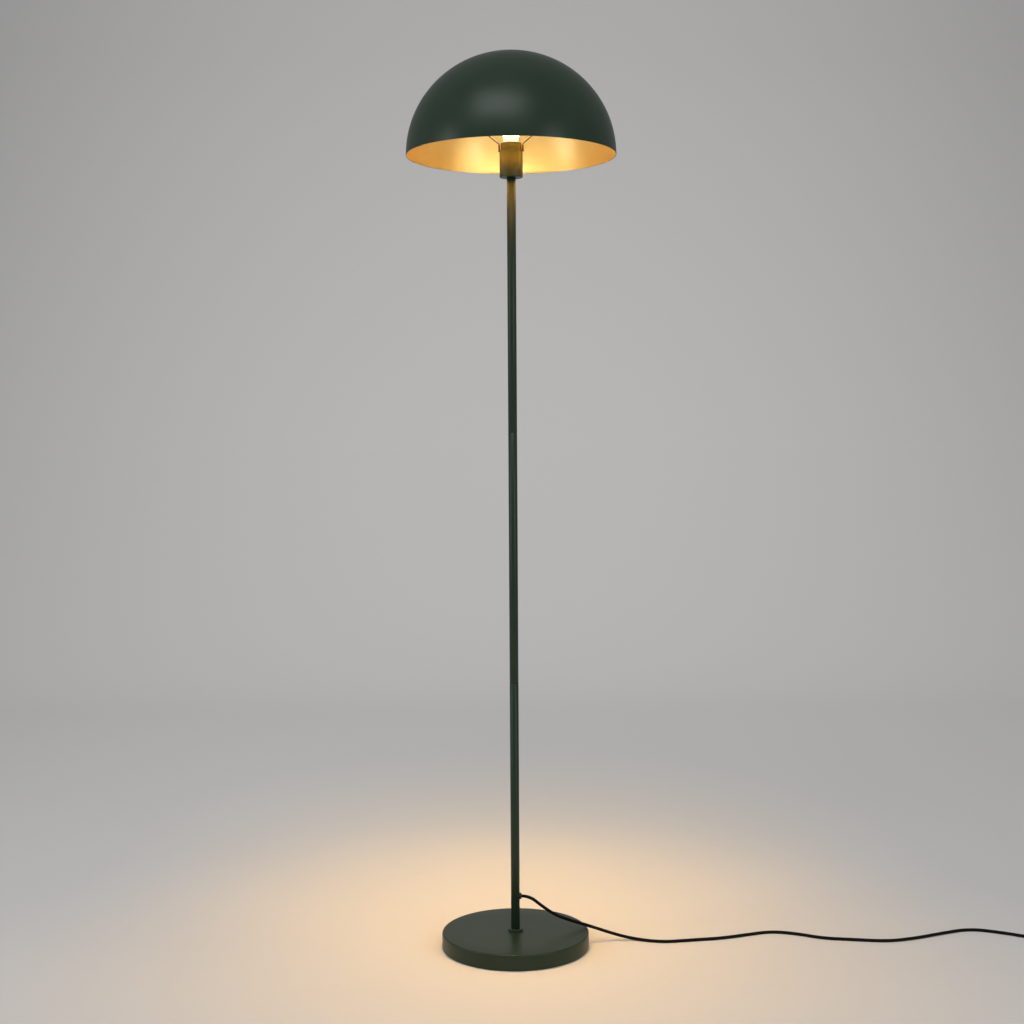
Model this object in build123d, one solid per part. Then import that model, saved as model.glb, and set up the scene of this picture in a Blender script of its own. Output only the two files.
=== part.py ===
from build123d import *
import math
import os

# Mushroom floor lamp. Millimetres, +Z up. The origin is on the floor, under the pole's axis.
# +X points to the side where the cord leaves the pole.

# ---------------------------------------------------------------- clearances
fit = 0.05  # radial room of a pressed, screwed or glued fit within one body
running = 0.05  # radial room of a shaft that moves in its hole
moving_gap = 0.3  # least room between two bodies where they don't run on each other

# ---------------------------------------------------------------- base
base_radius = 125.0
base_top = 27.0
base_wall = 1.5
base_edge_radius = 2.5
base_lift = 1.0  # the cover's lower edge stands this far off the floor
pad_thickness = 2.0
pad_margin = 3.0  # the pad ends this far inside the cover's outside
weight_plate = 12.0
weight_rim_width = 15.0
weight_boss_outer = 30.0
weight_boss_inner = 22.0
weight_gap = 0.3
bolt_radius = 5.0
bolt_head_flats = 17.0
bolt_head_height = 6.4
bolt_engagement = 18.0
bolt_hole_gap = 0.3
washer_radius = 15.0
washer_thickness = 2.0
lock_washer_radius = 8.5
lock_washer_thickness = 2.2
lock_washer_slit = 1.5

# ---------------------------------------------------------------- pole
pole_radius = 7.5
pole_wall = 1.1
pole_section = 424.0
pole_sections = 3
collar_radius = 12.5
collar_height = 4.0
collar_floor = 2.0  # what is left under the pole's seat
collar_edge_radius = 0.8
foot_bush_length = 25.0
joint_bush_length = 20.0
joint_stud_seat = 18.0  # pressed length of a joint stud
joint_stud_reach = 15.0  # threaded length that enters the section below
thread_radius = 5.0  # M10
wire_way_radius = 3.5  # bore of studs and nipple for the flex

# ---------------------------------------------------------------- flex and its way out
cord_diameter = 5.4
grommet_height = 87.0
grommet_radius = 5.3
grommet_neck_radius = 3.9
grommet_proud = 3.0
grommet_lip_radius = 4.6
grommet_lip = 1.0
grommet_edge_radius = 0.9
inner_bend_radius = 5.2

# ---------------------------------------------------------------- lampholder
cup_radius = 19.4
cup_height = 43.0
cup_wall = 1.0
cup_floor = 1.2
cup_edge_radius = 1.0
nipple_below = 14.0
nipple_above = 8.0
holder_nut_flats = 14.0
holder_nut_height = 3.5
holder_radius = 16.1
holder_bore_radius = 14.1
holder_floor_height = 25.0  # of the contact floor, above the cup's underside
holder_ring_radius = 17.4
holder_ring_height = 12.5
holder_ring_edge = 1.5
holder_ring_wall_share = 0.8  # its edge takes at most this share of its wall
holder_above_floor_gap = 1.0  # the insulating skirt ends this far below the ring's top
channel_radius = 3.5
terminal_offset = 9.5
terminal_size = 5.0
terminal_height = 7.0
terminal_rise = 12.0  # from the cup's underside to the terminals' underside
terminal_screw_radius = 1.5
terminal_screw_length = 4.0
core_radius = 0.9
core_offset = 1.4
contact_strip_length = 20.0
contact_strip_width = 7.0
contact_strip_thickness = 0.5
shell_wall = 0.45
shell_height = 22.0

# ---------------------------------------------------------------- harp
harp_turn = -8.0  # degrees about the pole's axis, from +X
saddle_thickness = 1.0
saddle_radius = 18.8
saddle_ear_width = 6.0
harp_leg_radius = 19.9  # from the pole's axis to a leg
harp_wire_radius = 1.1
ferrule_radius = 1.9
ferrule_height = 10.0
harp_leg_rise = 1.5  # from a ferrule's top to the wire's bend
harp_foot_bend = 3.5
harp_shoulder_reach = 54.0  # the wire's four corners: how far out from the pole's axis
harp_belly_reach = 57.0
harp_crown_reach = 36.0
harp_top_reach = 12.0
harp_shoulder_rise = 40.0  # and how far above the saddle or below the level top
harp_belly_rise = 92.0
harp_crown_drop = 15.0
harp_shoulder_bend = 12.0
harp_belly_bend = 30.0
harp_crown_bend = 18.0
harp_top_bend = 12.0
peg_radius = 1.1
peg_height = 5.5
harp_height = 157.0  # from the saddle's top to the shade's seat
seat_radius = 9.0
seat_flange = 3.0
seat_neck_radius = 6.0
seat_neck_height = 9.0
finial_radius = 3.0  # M6 stud that holds the shade
finial_above = 5.0
finial_below = 4.0

# ---------------------------------------------------------------- shade
shade_radius = 175.0
shade_height = 169.5
shade_wall = 1.0
shade_land = 10.0  # flat ground round the centre hole
shade_hole_gap = 0.4
washer_wide = 7.0
washer_thin = 0.8
cap_nut_radius = 7.0
cap_nut_height = 4.4
cap_nut_crown = 1.2
cap_nut_roof = 1.0

# ---------------------------------------------------------------- bulb
bulb_radius = 30.0
bulb_length = 106.0
bulb_wall = 1.0
bulb_neck_radius = 12.4
bulb_neck_flare = 28.0
bulb_neck_sunk = 8.0
screw_cap_radius = 13.1
screw_cap_wall = 0.4
screw_cap_height = 21.0
insulator_height = 4.0
insulator_tip_radius = 5.5
insulator_skirt = 2.0  # the part of it inside the screw cap
contact_radius = 4.5
contact_height = 2.0
stem_radius = 4.2
stem_height = 30.0
stem_flare_height = 11.0
filament_radius = 0.9
filament_length = 26.0
filament_count = 4

# ---------------------------------------------------------------- foot switch
switch_x = 1013.0
switch_y = 10.0
switch_length = 70.0
switch_width = 36.0
switch_corner = 11.0
switch_wall = 2.0
switch_foot = 1.5
switch_base_height = 8.0
switch_cover_height = 13.0
switch_edge_radius = 3.0
switch_cord_height = 9.0
button_radius = 12.0
button_flange_radius = 13.6
button_flange = 1.5
button_travel = 3.0
button_left_proud = 1.5  # what still stands out when it is pressed
button_edge_radius = 1.2
button_gap = 0.35
spring_radius = 4.5
spring_wire = 0.7
spring_turns = 4
foot_radius = 3.5
foot_inset = 7.5
screw_radius = 1.5
screw_head_radius = 2.6
screw_head = 1.6
screw_length = 12.0
screw_inset = 8.0
tower_radius = 3.6
gland_length = 20.0
gland_tip_radius = 3.6
gland_root_radius = 4.6
gland_flange = 1.5
gland_flange_radius = 5.4
contact_block_size = 16.0
contact_block_height = 4.0
flex_end_gap = 5.0  # the flex stops this far from the contact block

# ---------------------------------------------------------------- plug
plug_length = 38.0
plug_width = 33.0
plug_neck_width = 15.0
plug_neck_height = 11.2
plug_shoulder = 17.1  # from the neck to where the plug has its full width
plug_height = 14.0
plug_corner = 3.0
pin_radius = 2.0
pin_length = 19.0
pin_spacing = 18.6
pin_root = 6.0
pin_tip_radius = 1.2

# ---------------------------------------------------------------- the put-away coil
coil_x = 930.0
coil_y = -95.0
coil_outer = 40.75
coil_pitch = 6.9
coil_layer = 6.5
coil_half_turns = 5
tie_thickness = 0.5
tie_room = 0.2
tie_side_room = 1.4
tie_width = 12.0
tie_corner = 2.0

# ---------------------------------------------------------------- heights that follow
cord_radius = cord_diameter / 2
pole_bore = pole_radius - pole_wall
pole_foot = base_top + collar_floor
pole_top = pole_foot + pole_section * pole_sections
cup_top = pole_top + cup_height
ring_bottom = cup_top + saddle_thickness
ring_top = ring_bottom + holder_ring_height
contact_floor = pole_top + holder_floor_height
bulb_bottom = contact_floor + contact_strip_thickness + moving_gap
seat_top = ring_bottom + harp_height
weight_top = base_top - base_wall
plate_bottom = weight_top - weight_plate
floor_line = cord_radius

# The cord's route, chosen by hand. It leaves the grommet level, drops over the base's edge and
# wanders over the floor to the foot switch.
lead_route = [
    (pole_radius + grommet_proud, 0.0, grommet_height),
    (31.0, 0.0, grommet_height),
    (57.0, 4.0, 68.5),
    (82.0, 9.0, 54.0),
    (112.0, 14.0, 42.0),
    (142.0, 20.0, 29.5),
    (176.0, 27.0, 15.0),
    (212.0, 25.0, floor_line),
    (252.0, 10.0, floor_line),
    (300.0, 20.0, floor_line),
    (356.0, 31.0, floor_line),
    (402.0, 50.0, floor_line),
    (447.0, 69.0, floor_line),
    (492.0, 54.0, floor_line),
    (530.0, 30.0, floor_line),
    (582.0, 22.5, floor_line),
    (638.0, 13.0, floor_line),
    (690.0, 31.0, floor_line),
    (742.0, 56.0, floor_line),
    (797.0, 79.0, floor_line),
    (848.0, 57.0, floor_line),
    (893.0, 24.0, floor_line),
    (930.0, switch_y, switch_cord_height),
    (switch_x - switch_length / 2 - gland_length, switch_y, switch_cord_height),
]
coil_low = tie_thickness + tie_room + cord_radius
coil_high = coil_low + coil_layer
tail_route = [
    (switch_x + switch_length / 2 + gland_length, switch_y, switch_cord_height),
    (1094.5, switch_y, switch_cord_height),
    (1113.5, -9.0, 6.5),
    (1113.5, -36.0, 3.8),
    (1094.0, -55.5, coil_low),
    (1040.0, -66.0, coil_low),
    (978.0, coil_y + coil_outer, coil_low),
    (coil_x + cord_diameter, coil_y + coil_outer, coil_low),
]
plug_axis = plug_height / 2
end_route = [
    (coil_x + cord_diameter, coil_y - coil_outer, coil_high),
    (958.0, coil_y - coil_outer, coil_high),
    (995.0, -126.0, 5.5),
    (1032.0, -120.0, plug_axis),
    (1054.0, -120.0, plug_axis),
]
plug_x = end_route[-1][0] + gland_length
plug_y = end_route[-1][1]


# ---------------------------------------------------------------- helpers
def spun(*lines):
    """Solid of revolution about Z of a closed outline drawn as (radius, height)."""
    return revolve(Plane.XZ * make_face(Curve() + list(lines)), Axis.Z)


def turned(*outline):
    """Solid of revolution about Z through straight runs between (radius, height) points."""
    return spun(Polyline(*outline, close=True))


def ring(inner, outer, low, high):
    """A plain tube or washer round Z; an inner radius of 0 gives a disc."""
    return turned((inner, low), (outer, low), (outer, high), (inner, high))


def hexagon(flats, low, high):
    """A hexagonal prism on Z, measured across its flats."""
    corner = flats / math.sqrt(3)
    return Pos(0, 0, low) * extrude(RegularPolygon(corner, 6), high - low)


def block(x_size, y_size, low, high, x=0.0, y=0.0):
    """A box from low to high in Z, centred on (x, y)."""
    return Pos(x, y, (low + high) / 2) * Box(x_size, y_size, high - low)


def cross_rod(radius, length, x=0.0, y=0.0, z=0.0):
    """A round rod along X, centred on (x, y, z)."""
    return Pos(x, y, z) * Rot(0, 90, 0) * Cylinder(radius, length)


def circles(solid, radius, height):
    """The round edges of that radius at that height."""
    found = solid.edges().filter_by(GeomType.CIRCLE)
    return [e for e in found if abs(e.radius - radius) < 1e-4 and abs(e.arc_center.Z - height) < 1e-4]


def level_edges(solid, height):
    """Every edge that lies flat at that height."""
    box = [(e, e.bounding_box()) for e in solid.edges()]
    return [e for e, b in box if abs(b.min.Z - height) < 1e-3 and abs(b.max.Z - height) < 1e-3]


def tube(path, radius):
    """A round rod of that radius along a path."""
    return sweep(Plane(origin=path @ 0, z_dir=path % 0) * Circle(radius), path)


def bend_radii(points):
    """The radius of each corner of a cord's route: 0.45 of the shorter run by the half turn."""
    spots = [Vector(*p) for p in points]
    radii = []
    for before, here, after in zip(spots, spots[1:], spots[2:]):
        turn = math.radians((here - before).get_angle(after - here))
        run = min((here - before).length, (after - here).length)
        radii.append(0.45 * run / math.tan(turn / 2))
    return radii


def cord_along(name, points):
    """A free stretch of cord: straight runs joined by arcs as large as the runs allow."""
    radii = bend_radii(points)
    path = FilletPolyline(*points, radius=radii)
    solid = tube(path, cord_radius)
    expected = math.pi * cord_radius**2 * path.length
    print(name, "length", round(path.length, 1), "radii", [round(r) for r in radii])
    print(name, "volume over section times length", round(solid.volume / expected, 5))
    return solid


def quarter_arcs(start, end, heading):
    """Two quarter arcs that make one half turn from start to end, level at both ends."""
    chord = end - start
    middle = (start + end) / 2 + heading * (chord.length / 2)
    first = TangentArc(start, middle, tangent=heading)
    second = TangentArc(middle, end, tangent=chord)
    return [first, second]


# ---------------------------------------------------------------- base
def make_base_cover():
    """Pressed steel drum, open below."""
    body = ring(0, base_radius, base_lift, base_top)
    body = fillet(circles(body, base_radius, base_top), base_edge_radius)
    inside_radius = base_radius - base_wall
    inside = ring(0, inside_radius, base_lift, weight_top)
    inside = fillet(circles(inside, inside_radius, weight_top), base_edge_radius - base_wall)
    hole = ring(0, bolt_radius + bolt_hole_gap, weight_top, base_top)
    return body - inside - hole


def make_base_weight():
    """Cast disc with a rim and a boss that stand on the pad."""
    outer = base_radius - base_wall - weight_gap
    chamfer_size = base_edge_radius - base_wall
    hole = bolt_radius + bolt_hole_gap
    return turned(
        (hole, weight_top),
        (outer - chamfer_size, weight_top),
        (outer, weight_top - chamfer_size),
        (outer, pad_thickness),
        (outer - weight_rim_width, pad_thickness),
        (outer - weight_rim_width, plate_bottom),
        (weight_boss_outer, plate_bottom),
        (weight_boss_outer, pad_thickness),
        (weight_boss_inner, pad_thickness),
        (weight_boss_inner, plate_bottom),
        (hole, plate_bottom),
    )


def make_base_pad():
    """Soft foam disc that the lamp stands on."""
    return ring(0, base_radius - pad_margin, 0, pad_thickness)


washer_bottom = plate_bottom - washer_thickness
lock_bottom = washer_bottom - lock_washer_thickness
head_bottom = lock_bottom - bolt_head_height


def make_base_bolt():
    """Hexagon bolt up through weight and cover into the pole's foot."""
    head = hexagon(bolt_head_flats, head_bottom, lock_bottom)
    return head + ring(0, bolt_radius, lock_bottom, pole_foot + bolt_engagement)


def make_base_washer():
    return ring(bolt_radius + bolt_hole_gap, washer_radius, washer_bottom, plate_bottom)


def make_base_lock_washer():
    """Split spring washer between the bolt's head and the washer."""
    body = ring(bolt_radius + bolt_hole_gap, lock_washer_radius, lock_bottom, washer_bottom)
    slit = block(lock_washer_radius, lock_washer_slit, lock_bottom, washer_bottom, x=lock_washer_radius)
    return body - slit


# ---------------------------------------------------------------- pole
def make_collar():
    """Round flange that the pole's foot seats in."""
    body = ring(bolt_radius + bolt_hole_gap, collar_radius, base_top, base_top + collar_height)
    body = fillet(circles(body, collar_radius, base_top + collar_height), collar_edge_radius)
    return body - ring(0, pole_radius + fit, pole_foot, base_top + collar_height)


def joint_height(index):
    """Height of the lower end of a pole section."""
    return pole_foot + index * pole_section


def make_pole_tube(index):
    return ring(pole_bore, pole_radius, joint_height(index), joint_height(index + 1))


def make_lower_tube():
    """The lowest section, with the hole for the grommet."""
    hole = cross_rod(grommet_neck_radius + fit, pole_radius, pole_radius, z=grommet_height)
    return make_pole_tube(0) - hole


def make_foot_bush():
    """Threaded plug pressed into the pole's foot, for the base bolt."""
    return ring(bolt_radius + fit, pole_bore - fit, pole_foot, pole_foot + foot_bush_length)


def make_joint_bush(index):
    """Threaded bush pressed into the top of the section below a joint."""
    top = joint_height(index)
    return ring(thread_radius + fit, pole_bore - fit, top - joint_bush_length, top)


def make_joint_stud(index):
    """Hollow stud pressed into the section above a joint and screwed into the bush below."""
    low = joint_height(index)
    seat = ring(wire_way_radius, pole_bore - fit, low, low + joint_stud_seat)
    return seat + ring(wire_way_radius, thread_radius, low - joint_stud_reach, low)


# ---------------------------------------------------------------- flex inside the pole
def make_grommet():
    """Soft bush with a flange that hugs the pole and a lip inside it."""
    outer_face = pole_radius + grommet_proud
    flange = cross_rod(grommet_radius, outer_face, outer_face / 2)
    rim = flange.edges().group_by(Axis.X)[-1]
    flange = fillet(rim, grommet_edge_radius)
    flange -= Cylinder(pole_radius + fit, 4 * grommet_radius)
    neck_low = pole_bore - grommet_lip - fit
    neck_span = pole_radius + grommet_proud / 2 - neck_low
    neck = cross_rod(grommet_neck_radius, neck_span, neck_low + neck_span / 2)
    lip_solid = cross_rod(grommet_lip_radius, pole_bore, pole_bore / 2)
    lip_shell = Cylinder(pole_bore - fit, 4 * grommet_radius) - Cylinder(neck_low, 4 * grommet_radius)
    lip = lip_solid & lip_shell
    bore = cross_rod(cord_radius + fit, 2 * outer_face, outer_face / 2)
    return Pos(0, 0, grommet_height) * (flange + neck + lip - bore)


def make_inner_lead():
    """The flex from the grommet's outer face up the pole to the lampholder."""
    top = pole_top + terminal_rise - core_offset
    corner = (0, 0, grommet_height)
    path = FilletPolyline(lead_route[0], corner, (0, 0, top), radius=inner_bend_radius)
    return tube(path, cord_radius)


# ---------------------------------------------------------------- lampholder
def make_holder_cup():
    """Spun steel cup round the lampholder, fixed on the pole's top."""
    body = ring(0, cup_radius, pole_top, cup_top)
    body = fillet(circles(body, cup_radius, pole_top), cup_edge_radius)
    inside = ring(0, cup_radius - cup_wall, pole_top + cup_floor, cup_top)
    return body - inside - ring(0, thread_radius + fit, pole_top, pole_top + cup_floor)


def make_holder_nipple():
    """Hollow threaded nipple that joins pole, cup and lampholder."""
    return ring(wire_way_radius, thread_radius, pole_top - nipple_below, pole_top + nipple_above)


holder_bottom = pole_top + cup_floor + holder_nut_height


def make_holder_nut():
    body = hexagon(holder_nut_flats, pole_top + cup_floor, holder_bottom)
    return body - ring(0, thread_radius + fit, pole_top + cup_floor, holder_bottom)


def make_holder_body():
    """Insulating body: nipple seat below, terminal pockets, screw shell's bore above."""
    skirt_top = ring_top - holder_above_floor_gap
    body = ring(0, holder_radius, holder_bottom, skirt_top)
    body -= ring(0, holder_bore_radius, contact_floor, skirt_top)
    body -= ring(0, thread_radius + fit, holder_bottom, pole_top + nipple_above + fit)
    terminal_low = pole_top + terminal_rise
    body -= ring(0, channel_radius, holder_bottom, terminal_low + terminal_height)
    pocket_length = holder_radius - terminal_offset + terminal_size / 2 + fit
    pocket_width = terminal_size + 2 * fit
    for side in (-1, 1):
        middle = side * (holder_radius - pocket_length / 2)
        body -= block(pocket_length, pocket_width, terminal_low, terminal_low + terminal_height, x=middle)
    return body - cross_rod(core_radius + fit, 2 * terminal_offset, z=terminal_low + terminal_height / 2)


def make_holder_terminals():
    """Two brass blocks with their clamp screws' holes."""
    low = pole_top + terminal_rise
    blocks = []
    for side in (-1, 1):
        body = block(terminal_size, terminal_size, low, low + terminal_height, x=side * terminal_offset)
        face = side * (terminal_offset + terminal_size / 2)
        hole = cross_rod(terminal_screw_radius + fit, terminal_size, face, z=low + terminal_height / 2)
        blocks.append(body - hole)
    return blocks


def make_terminal_screws():
    """A grub screw in the outer half of each terminal block."""
    middle = pole_top + terminal_rise + terminal_height / 2
    screws = []
    for side in (-1, 1):
        centre = side * (terminal_offset + terminal_screw_length / 2)
        screws.append(cross_rod(terminal_screw_radius, terminal_screw_length, centre, z=middle))
    return screws


def make_lead_cores():
    """The flex's two cores, from its end to the terminal blocks."""
    start = pole_top + terminal_rise - core_offset
    middle = pole_top + terminal_rise + terminal_height / 2
    end = terminal_offset - terminal_size / 2
    cores = []
    for side in (-1, 1):
        x = side * core_offset
        corners = [(x, 0, start), (x, 0, middle), (side * end, 0, middle)]
        cores.append(tube(FilletPolyline(*corners, radius=2 * core_radius), core_radius))
    return cores


def make_holder_contact():
    """Springy brass strip that meets the bulb's centre contact."""
    return block(
        contact_strip_length, contact_strip_width, contact_floor, contact_floor + contact_strip_thickness
    )


def make_holder_shell():
    """Thin brass sleeve that takes the bulb's screw cap."""
    outer = holder_bore_radius - fit
    low = contact_floor + contact_strip_thickness + moving_gap
    return ring(outer - shell_wall, outer, low, low + shell_height)


def make_holder_ring():
    """The narrower ring above the cup, which clamps the harp's saddle."""
    inner = holder_radius + fit
    body = ring(inner, holder_ring_radius, ring_bottom, ring_top)
    edge = min(holder_ring_edge, holder_ring_wall_share * (holder_ring_radius - inner))
    return fillet(circles(body, holder_ring_radius, ring_top), edge)


# ---------------------------------------------------------------- harp
def harp_place(solid):
    """Turn a piece drawn along X into the harp's own plane."""
    return Rot(0, 0, harp_turn) * solid


def make_harp_saddle():
    """Flat ring under the holder ring, with an ear and a peg for each leg."""
    body = ring(holder_radius + fit, saddle_radius, cup_top, ring_bottom)
    reach = harp_leg_radius + ferrule_radius
    bar = block(2 * reach, saddle_ear_width, cup_top, ring_bottom)
    body += bar - ring(0, (holder_radius + saddle_radius) / 2, cup_top, ring_bottom)
    peg = ring(0, peg_radius, ring_bottom, ring_bottom + peg_height)
    for side in (-1, 1):
        body += Pos(side * harp_leg_radius, 0, 0) * peg
    return harp_place(body)


def make_harp_ferrules():
    """Sleeves that join the wire's ends to the saddle's pegs."""
    sleeve = ring(harp_wire_radius + fit, ferrule_radius, ring_bottom, ring_bottom + ferrule_height)
    return [harp_place(Pos(side * harp_leg_radius, 0, 0) * sleeve) for side in (-1, 1)]


wire_level = seat_top - seat_flange - seat_neck_height / 2


def make_harp_wire():
    """One steel wire: out and up from one leg, over the bulb and down to the other."""
    leg = ring_bottom + peg_height + fit
    half = [
        (harp_leg_radius, leg, 0.0),
        (harp_leg_radius, ring_bottom + ferrule_height + harp_leg_rise, harp_foot_bend),
        (harp_shoulder_reach, ring_bottom + harp_shoulder_rise, harp_shoulder_bend),
        (harp_belly_reach, ring_bottom + harp_belly_rise, harp_belly_bend),
        (harp_crown_reach, wire_level - harp_crown_drop, harp_crown_bend),
        (harp_top_reach, wire_level, harp_top_bend),
    ]
    points = [(x, 0, z) for x, z, _ in half] + [(-x, 0, z) for x, z, _ in reversed(half)]
    bends = [bend for _, _, bend in half[1:]]
    path = FilletPolyline(*points, radius=bends + bends[::-1])
    return harp_place(tube(path, harp_wire_radius))


def make_harp_seat():
    """Turned seat on the wire's crown, which carries the shade."""
    neck_low = seat_top - seat_flange - seat_neck_height
    body = ring(0, seat_radius, seat_top - seat_flange, seat_top)
    body += ring(0, seat_neck_radius, neck_low, seat_top - seat_flange)
    body -= ring(0, finial_radius + fit, seat_top - finial_below, seat_top)
    return harp_place(body - cross_rod(harp_wire_radius + fit, 4 * seat_neck_radius, z=wire_level))


shade_underside = seat_top
shade_outside = seat_top + shade_wall
nut_bottom = shade_outside + washer_thin


def make_finial_stud():
    """Threaded stud that stands up through the shade's hole."""
    return ring(0, finial_radius, seat_top - finial_below, seat_top + finial_above)


# ---------------------------------------------------------------- shade
def dome_line(radius, height, land_height):
    """Elliptical line from the rim up to the flat land, and the rim's own height."""
    half_turn = math.acos(shade_land / radius) / 2
    rim = land_height - height * math.sin(2 * half_turn)
    corner = (radius, rim + height * math.tan(half_turn))
    weights = [1, math.cos(half_turn), 1]
    return Bezier((radius, rim), corner, (shade_land, land_height), weights=weights), rim


def make_shade():
    """Spun dome, open below, with a flat land round its centre hole."""
    hole = finial_radius + shade_hole_gap
    outer, rim = dome_line(shade_radius, shade_height, shade_outside)
    inside_radius = shade_radius - shade_wall
    inside_height = (shade_underside - rim) / math.sin(math.acos(shade_land / inside_radius))
    inner, rim_inside = dome_line(inside_radius, inside_height, shade_underside)
    edges = [
        outer,
        Line((shade_land, shade_outside), (hole, shade_outside)),
        Line((hole, shade_outside), (hole, shade_underside)),
        Line((hole, shade_underside), (shade_land, shade_underside)),
        inner,
        Line((inside_radius, rim_inside), (shade_radius, rim)),
    ]
    return spun(*edges)


def make_shade_washer():
    return ring(finial_radius + shade_hole_gap, washer_wide, shade_outside, nut_bottom)


def make_cap_nut():
    """Low domed nut on the stud, above the shade."""
    top = nut_bottom + cap_nut_height
    body = fillet(circles(ring(0, cap_nut_radius, nut_bottom, top), cap_nut_radius, top), cap_nut_crown)
    return body - ring(0, finial_radius + running, nut_bottom, top - cap_nut_roof)


# ---------------------------------------------------------------- bulb
cap_low = bulb_bottom + contact_height + insulator_height
cap_high = cap_low + screw_cap_height
bulb_centre = bulb_bottom + bulb_length - bulb_radius


def globe_lines(inset):
    """Outline of the glass from the neck to the crown, moved inwards by inset."""
    radius = bulb_radius - inset
    neck = bulb_neck_radius - inset
    flare = bulb_neck_flare + inset
    drop = math.sqrt((radius + flare) ** 2 - (neck + flare) ** 2)
    start = bulb_centre - drop
    turn = math.degrees(math.atan2(drop, neck + flare))
    foot = Line((neck, cap_high - bulb_neck_sunk), (neck, start))
    blend = CenterArc((neck + flare, start), flare, 180, -turn)
    crown = CenterArc((0, bulb_centre), radius, -turn, 90 + turn)
    return [foot, blend, crown]


def make_bulb_globe():
    """Opal glass pear."""
    low = cap_high - bulb_neck_sunk
    crown = Line((0, bulb_centre + bulb_radius - bulb_wall), (0, bulb_centre + bulb_radius))
    foot = Line((bulb_neck_radius - bulb_wall, low), (bulb_neck_radius, low))
    return spun(*globe_lines(0), *globe_lines(bulb_wall), crown, foot)


def make_bulb_cap():
    """Screw cap, drawn as its mean sleeve."""
    return ring(screw_cap_radius - screw_cap_wall, screw_cap_radius, cap_low, cap_high)


def make_bulb_insulator():
    """Glass insulator between the screw cap and the centre contact."""
    low = bulb_bottom + contact_height
    inner = screw_cap_radius - screw_cap_wall - fit
    return turned(
        (0, low),
        (insulator_tip_radius, low),
        (inner, cap_low),
        (inner, cap_low + insulator_skirt),
        (0, cap_low + insulator_skirt),
    )


def make_bulb_contact():
    body = ring(0, contact_radius, bulb_bottom, bulb_bottom + contact_height)
    return fillet(circles(body, contact_radius, bulb_bottom), contact_height / 2)


stem_low = cap_high - bulb_neck_sunk


def make_bulb_stem():
    """Glass stem with its flare fused to the neck."""
    rim = bulb_neck_radius - bulb_wall - fit
    flare_top = stem_low + stem_flare_height
    return turned(
        (0, stem_low),
        (rim, stem_low),
        (rim, stem_low + bulb_wall),
        (stem_radius, flare_top),
        (stem_radius, flare_top + stem_height),
        (0, flare_top + stem_height),
    )


def make_bulb_filaments():
    """Straight light sticks that stand round the stem."""
    low = stem_low + stem_flare_height + moving_gap
    reach = stem_radius + filament_radius + fit
    sticks = []
    for index in range(filament_count):
        stick = Pos(reach, 0, 0) * ring(0, filament_radius, low, low + filament_length)
        sticks.append(Rot(0, 0, index * 360 / filament_count) * stick)
    return sticks


# ---------------------------------------------------------------- foot switch
switch_split = switch_foot + switch_base_height
switch_top = switch_split + switch_cover_height
cover_underside = switch_top - switch_wall


def switch_slab(inset, low, high):
    """The switch's rounded outline, moved inwards by inset, from low to high."""
    plan = RectangleRounded(switch_length - 2 * inset, switch_width - 2 * inset, switch_corner - inset)
    return Pos(0, 0, low) * extrude(plan, high - low)


def switch_place(solid):
    return Pos(switch_x, switch_y, 0) * solid


def screw_spots():
    """Where the two housing screws stand, in the switch's own frame."""
    reach = switch_length / 2 - screw_inset
    return [(reach, -switch_width / 2 + screw_inset), (-reach, switch_width / 2 - screw_inset)]


def gland_bore():
    """The hole right through the housing for both glands' necks."""
    return cross_rod(gland_root_radius + fit, 2 * switch_length, z=switch_cord_height)


def make_switch_base():
    """Lower shell, with a tower for each screw."""
    body = switch_slab(0, switch_foot, switch_split)
    body = fillet(level_edges(body, switch_foot), switch_wall / 2)
    body -= switch_slab(switch_wall, switch_foot + switch_wall, switch_split)
    for x, y in screw_spots():
        body += Pos(x, y, 0) * ring(0, tower_radius, switch_foot + switch_wall, switch_split)
        body -= Pos(x, y, 0) * ring(0, screw_radius + fit, switch_foot, switch_split)
        body -= Pos(x, y, 0) * ring(0, screw_head_radius + fit, switch_foot, switch_foot + screw_head)
    return switch_place(body - gland_bore())


def make_switch_cover():
    """Upper shell with the button's hole and a tower above each screw."""
    body = switch_slab(0, switch_split, switch_top)
    body = fillet(level_edges(body, switch_top), switch_edge_radius)
    body -= switch_slab(switch_wall, switch_split, cover_underside)
    body -= ring(0, button_radius + button_gap, cover_underside, switch_top)
    screw_tip = switch_foot + screw_head + screw_length
    for x, y in screw_spots():
        body += Pos(x, y, 0) * ring(0, tower_radius, switch_split, cover_underside)
        body -= Pos(x, y, 0) * ring(0, screw_radius + fit, switch_split, screw_tip)
    return switch_place(body - gland_bore())


def make_switch_screws():
    """Two screws from below, heads sunk in the lower shell."""
    screws = []
    for x, y in screw_spots():
        head = ring(0, screw_head_radius, switch_foot, switch_foot + screw_head)
        shank = ring(0, screw_radius, switch_foot + screw_head, switch_foot + screw_head + screw_length)
        screws.append(switch_place(Pos(x, y, 0) * (head + shank)))
    return screws


def make_switch_feet():
    """Four soft pads under the lower shell."""
    pad = ring(0, foot_radius, 0, switch_foot)
    reach_x = switch_length / 2 - foot_inset - screw_inset
    reach_y = switch_width / 2 - foot_inset
    return [switch_place(Pos(sx * reach_x, sy * reach_y, 0) * pad) for sx in (-1, 1) for sy in (-1, 1)]


button_low = cover_underside - moving_gap - button_flange
button_top = switch_top + button_left_proud + button_travel
block_low = switch_foot + switch_wall
block_high = block_low + contact_block_height


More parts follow.
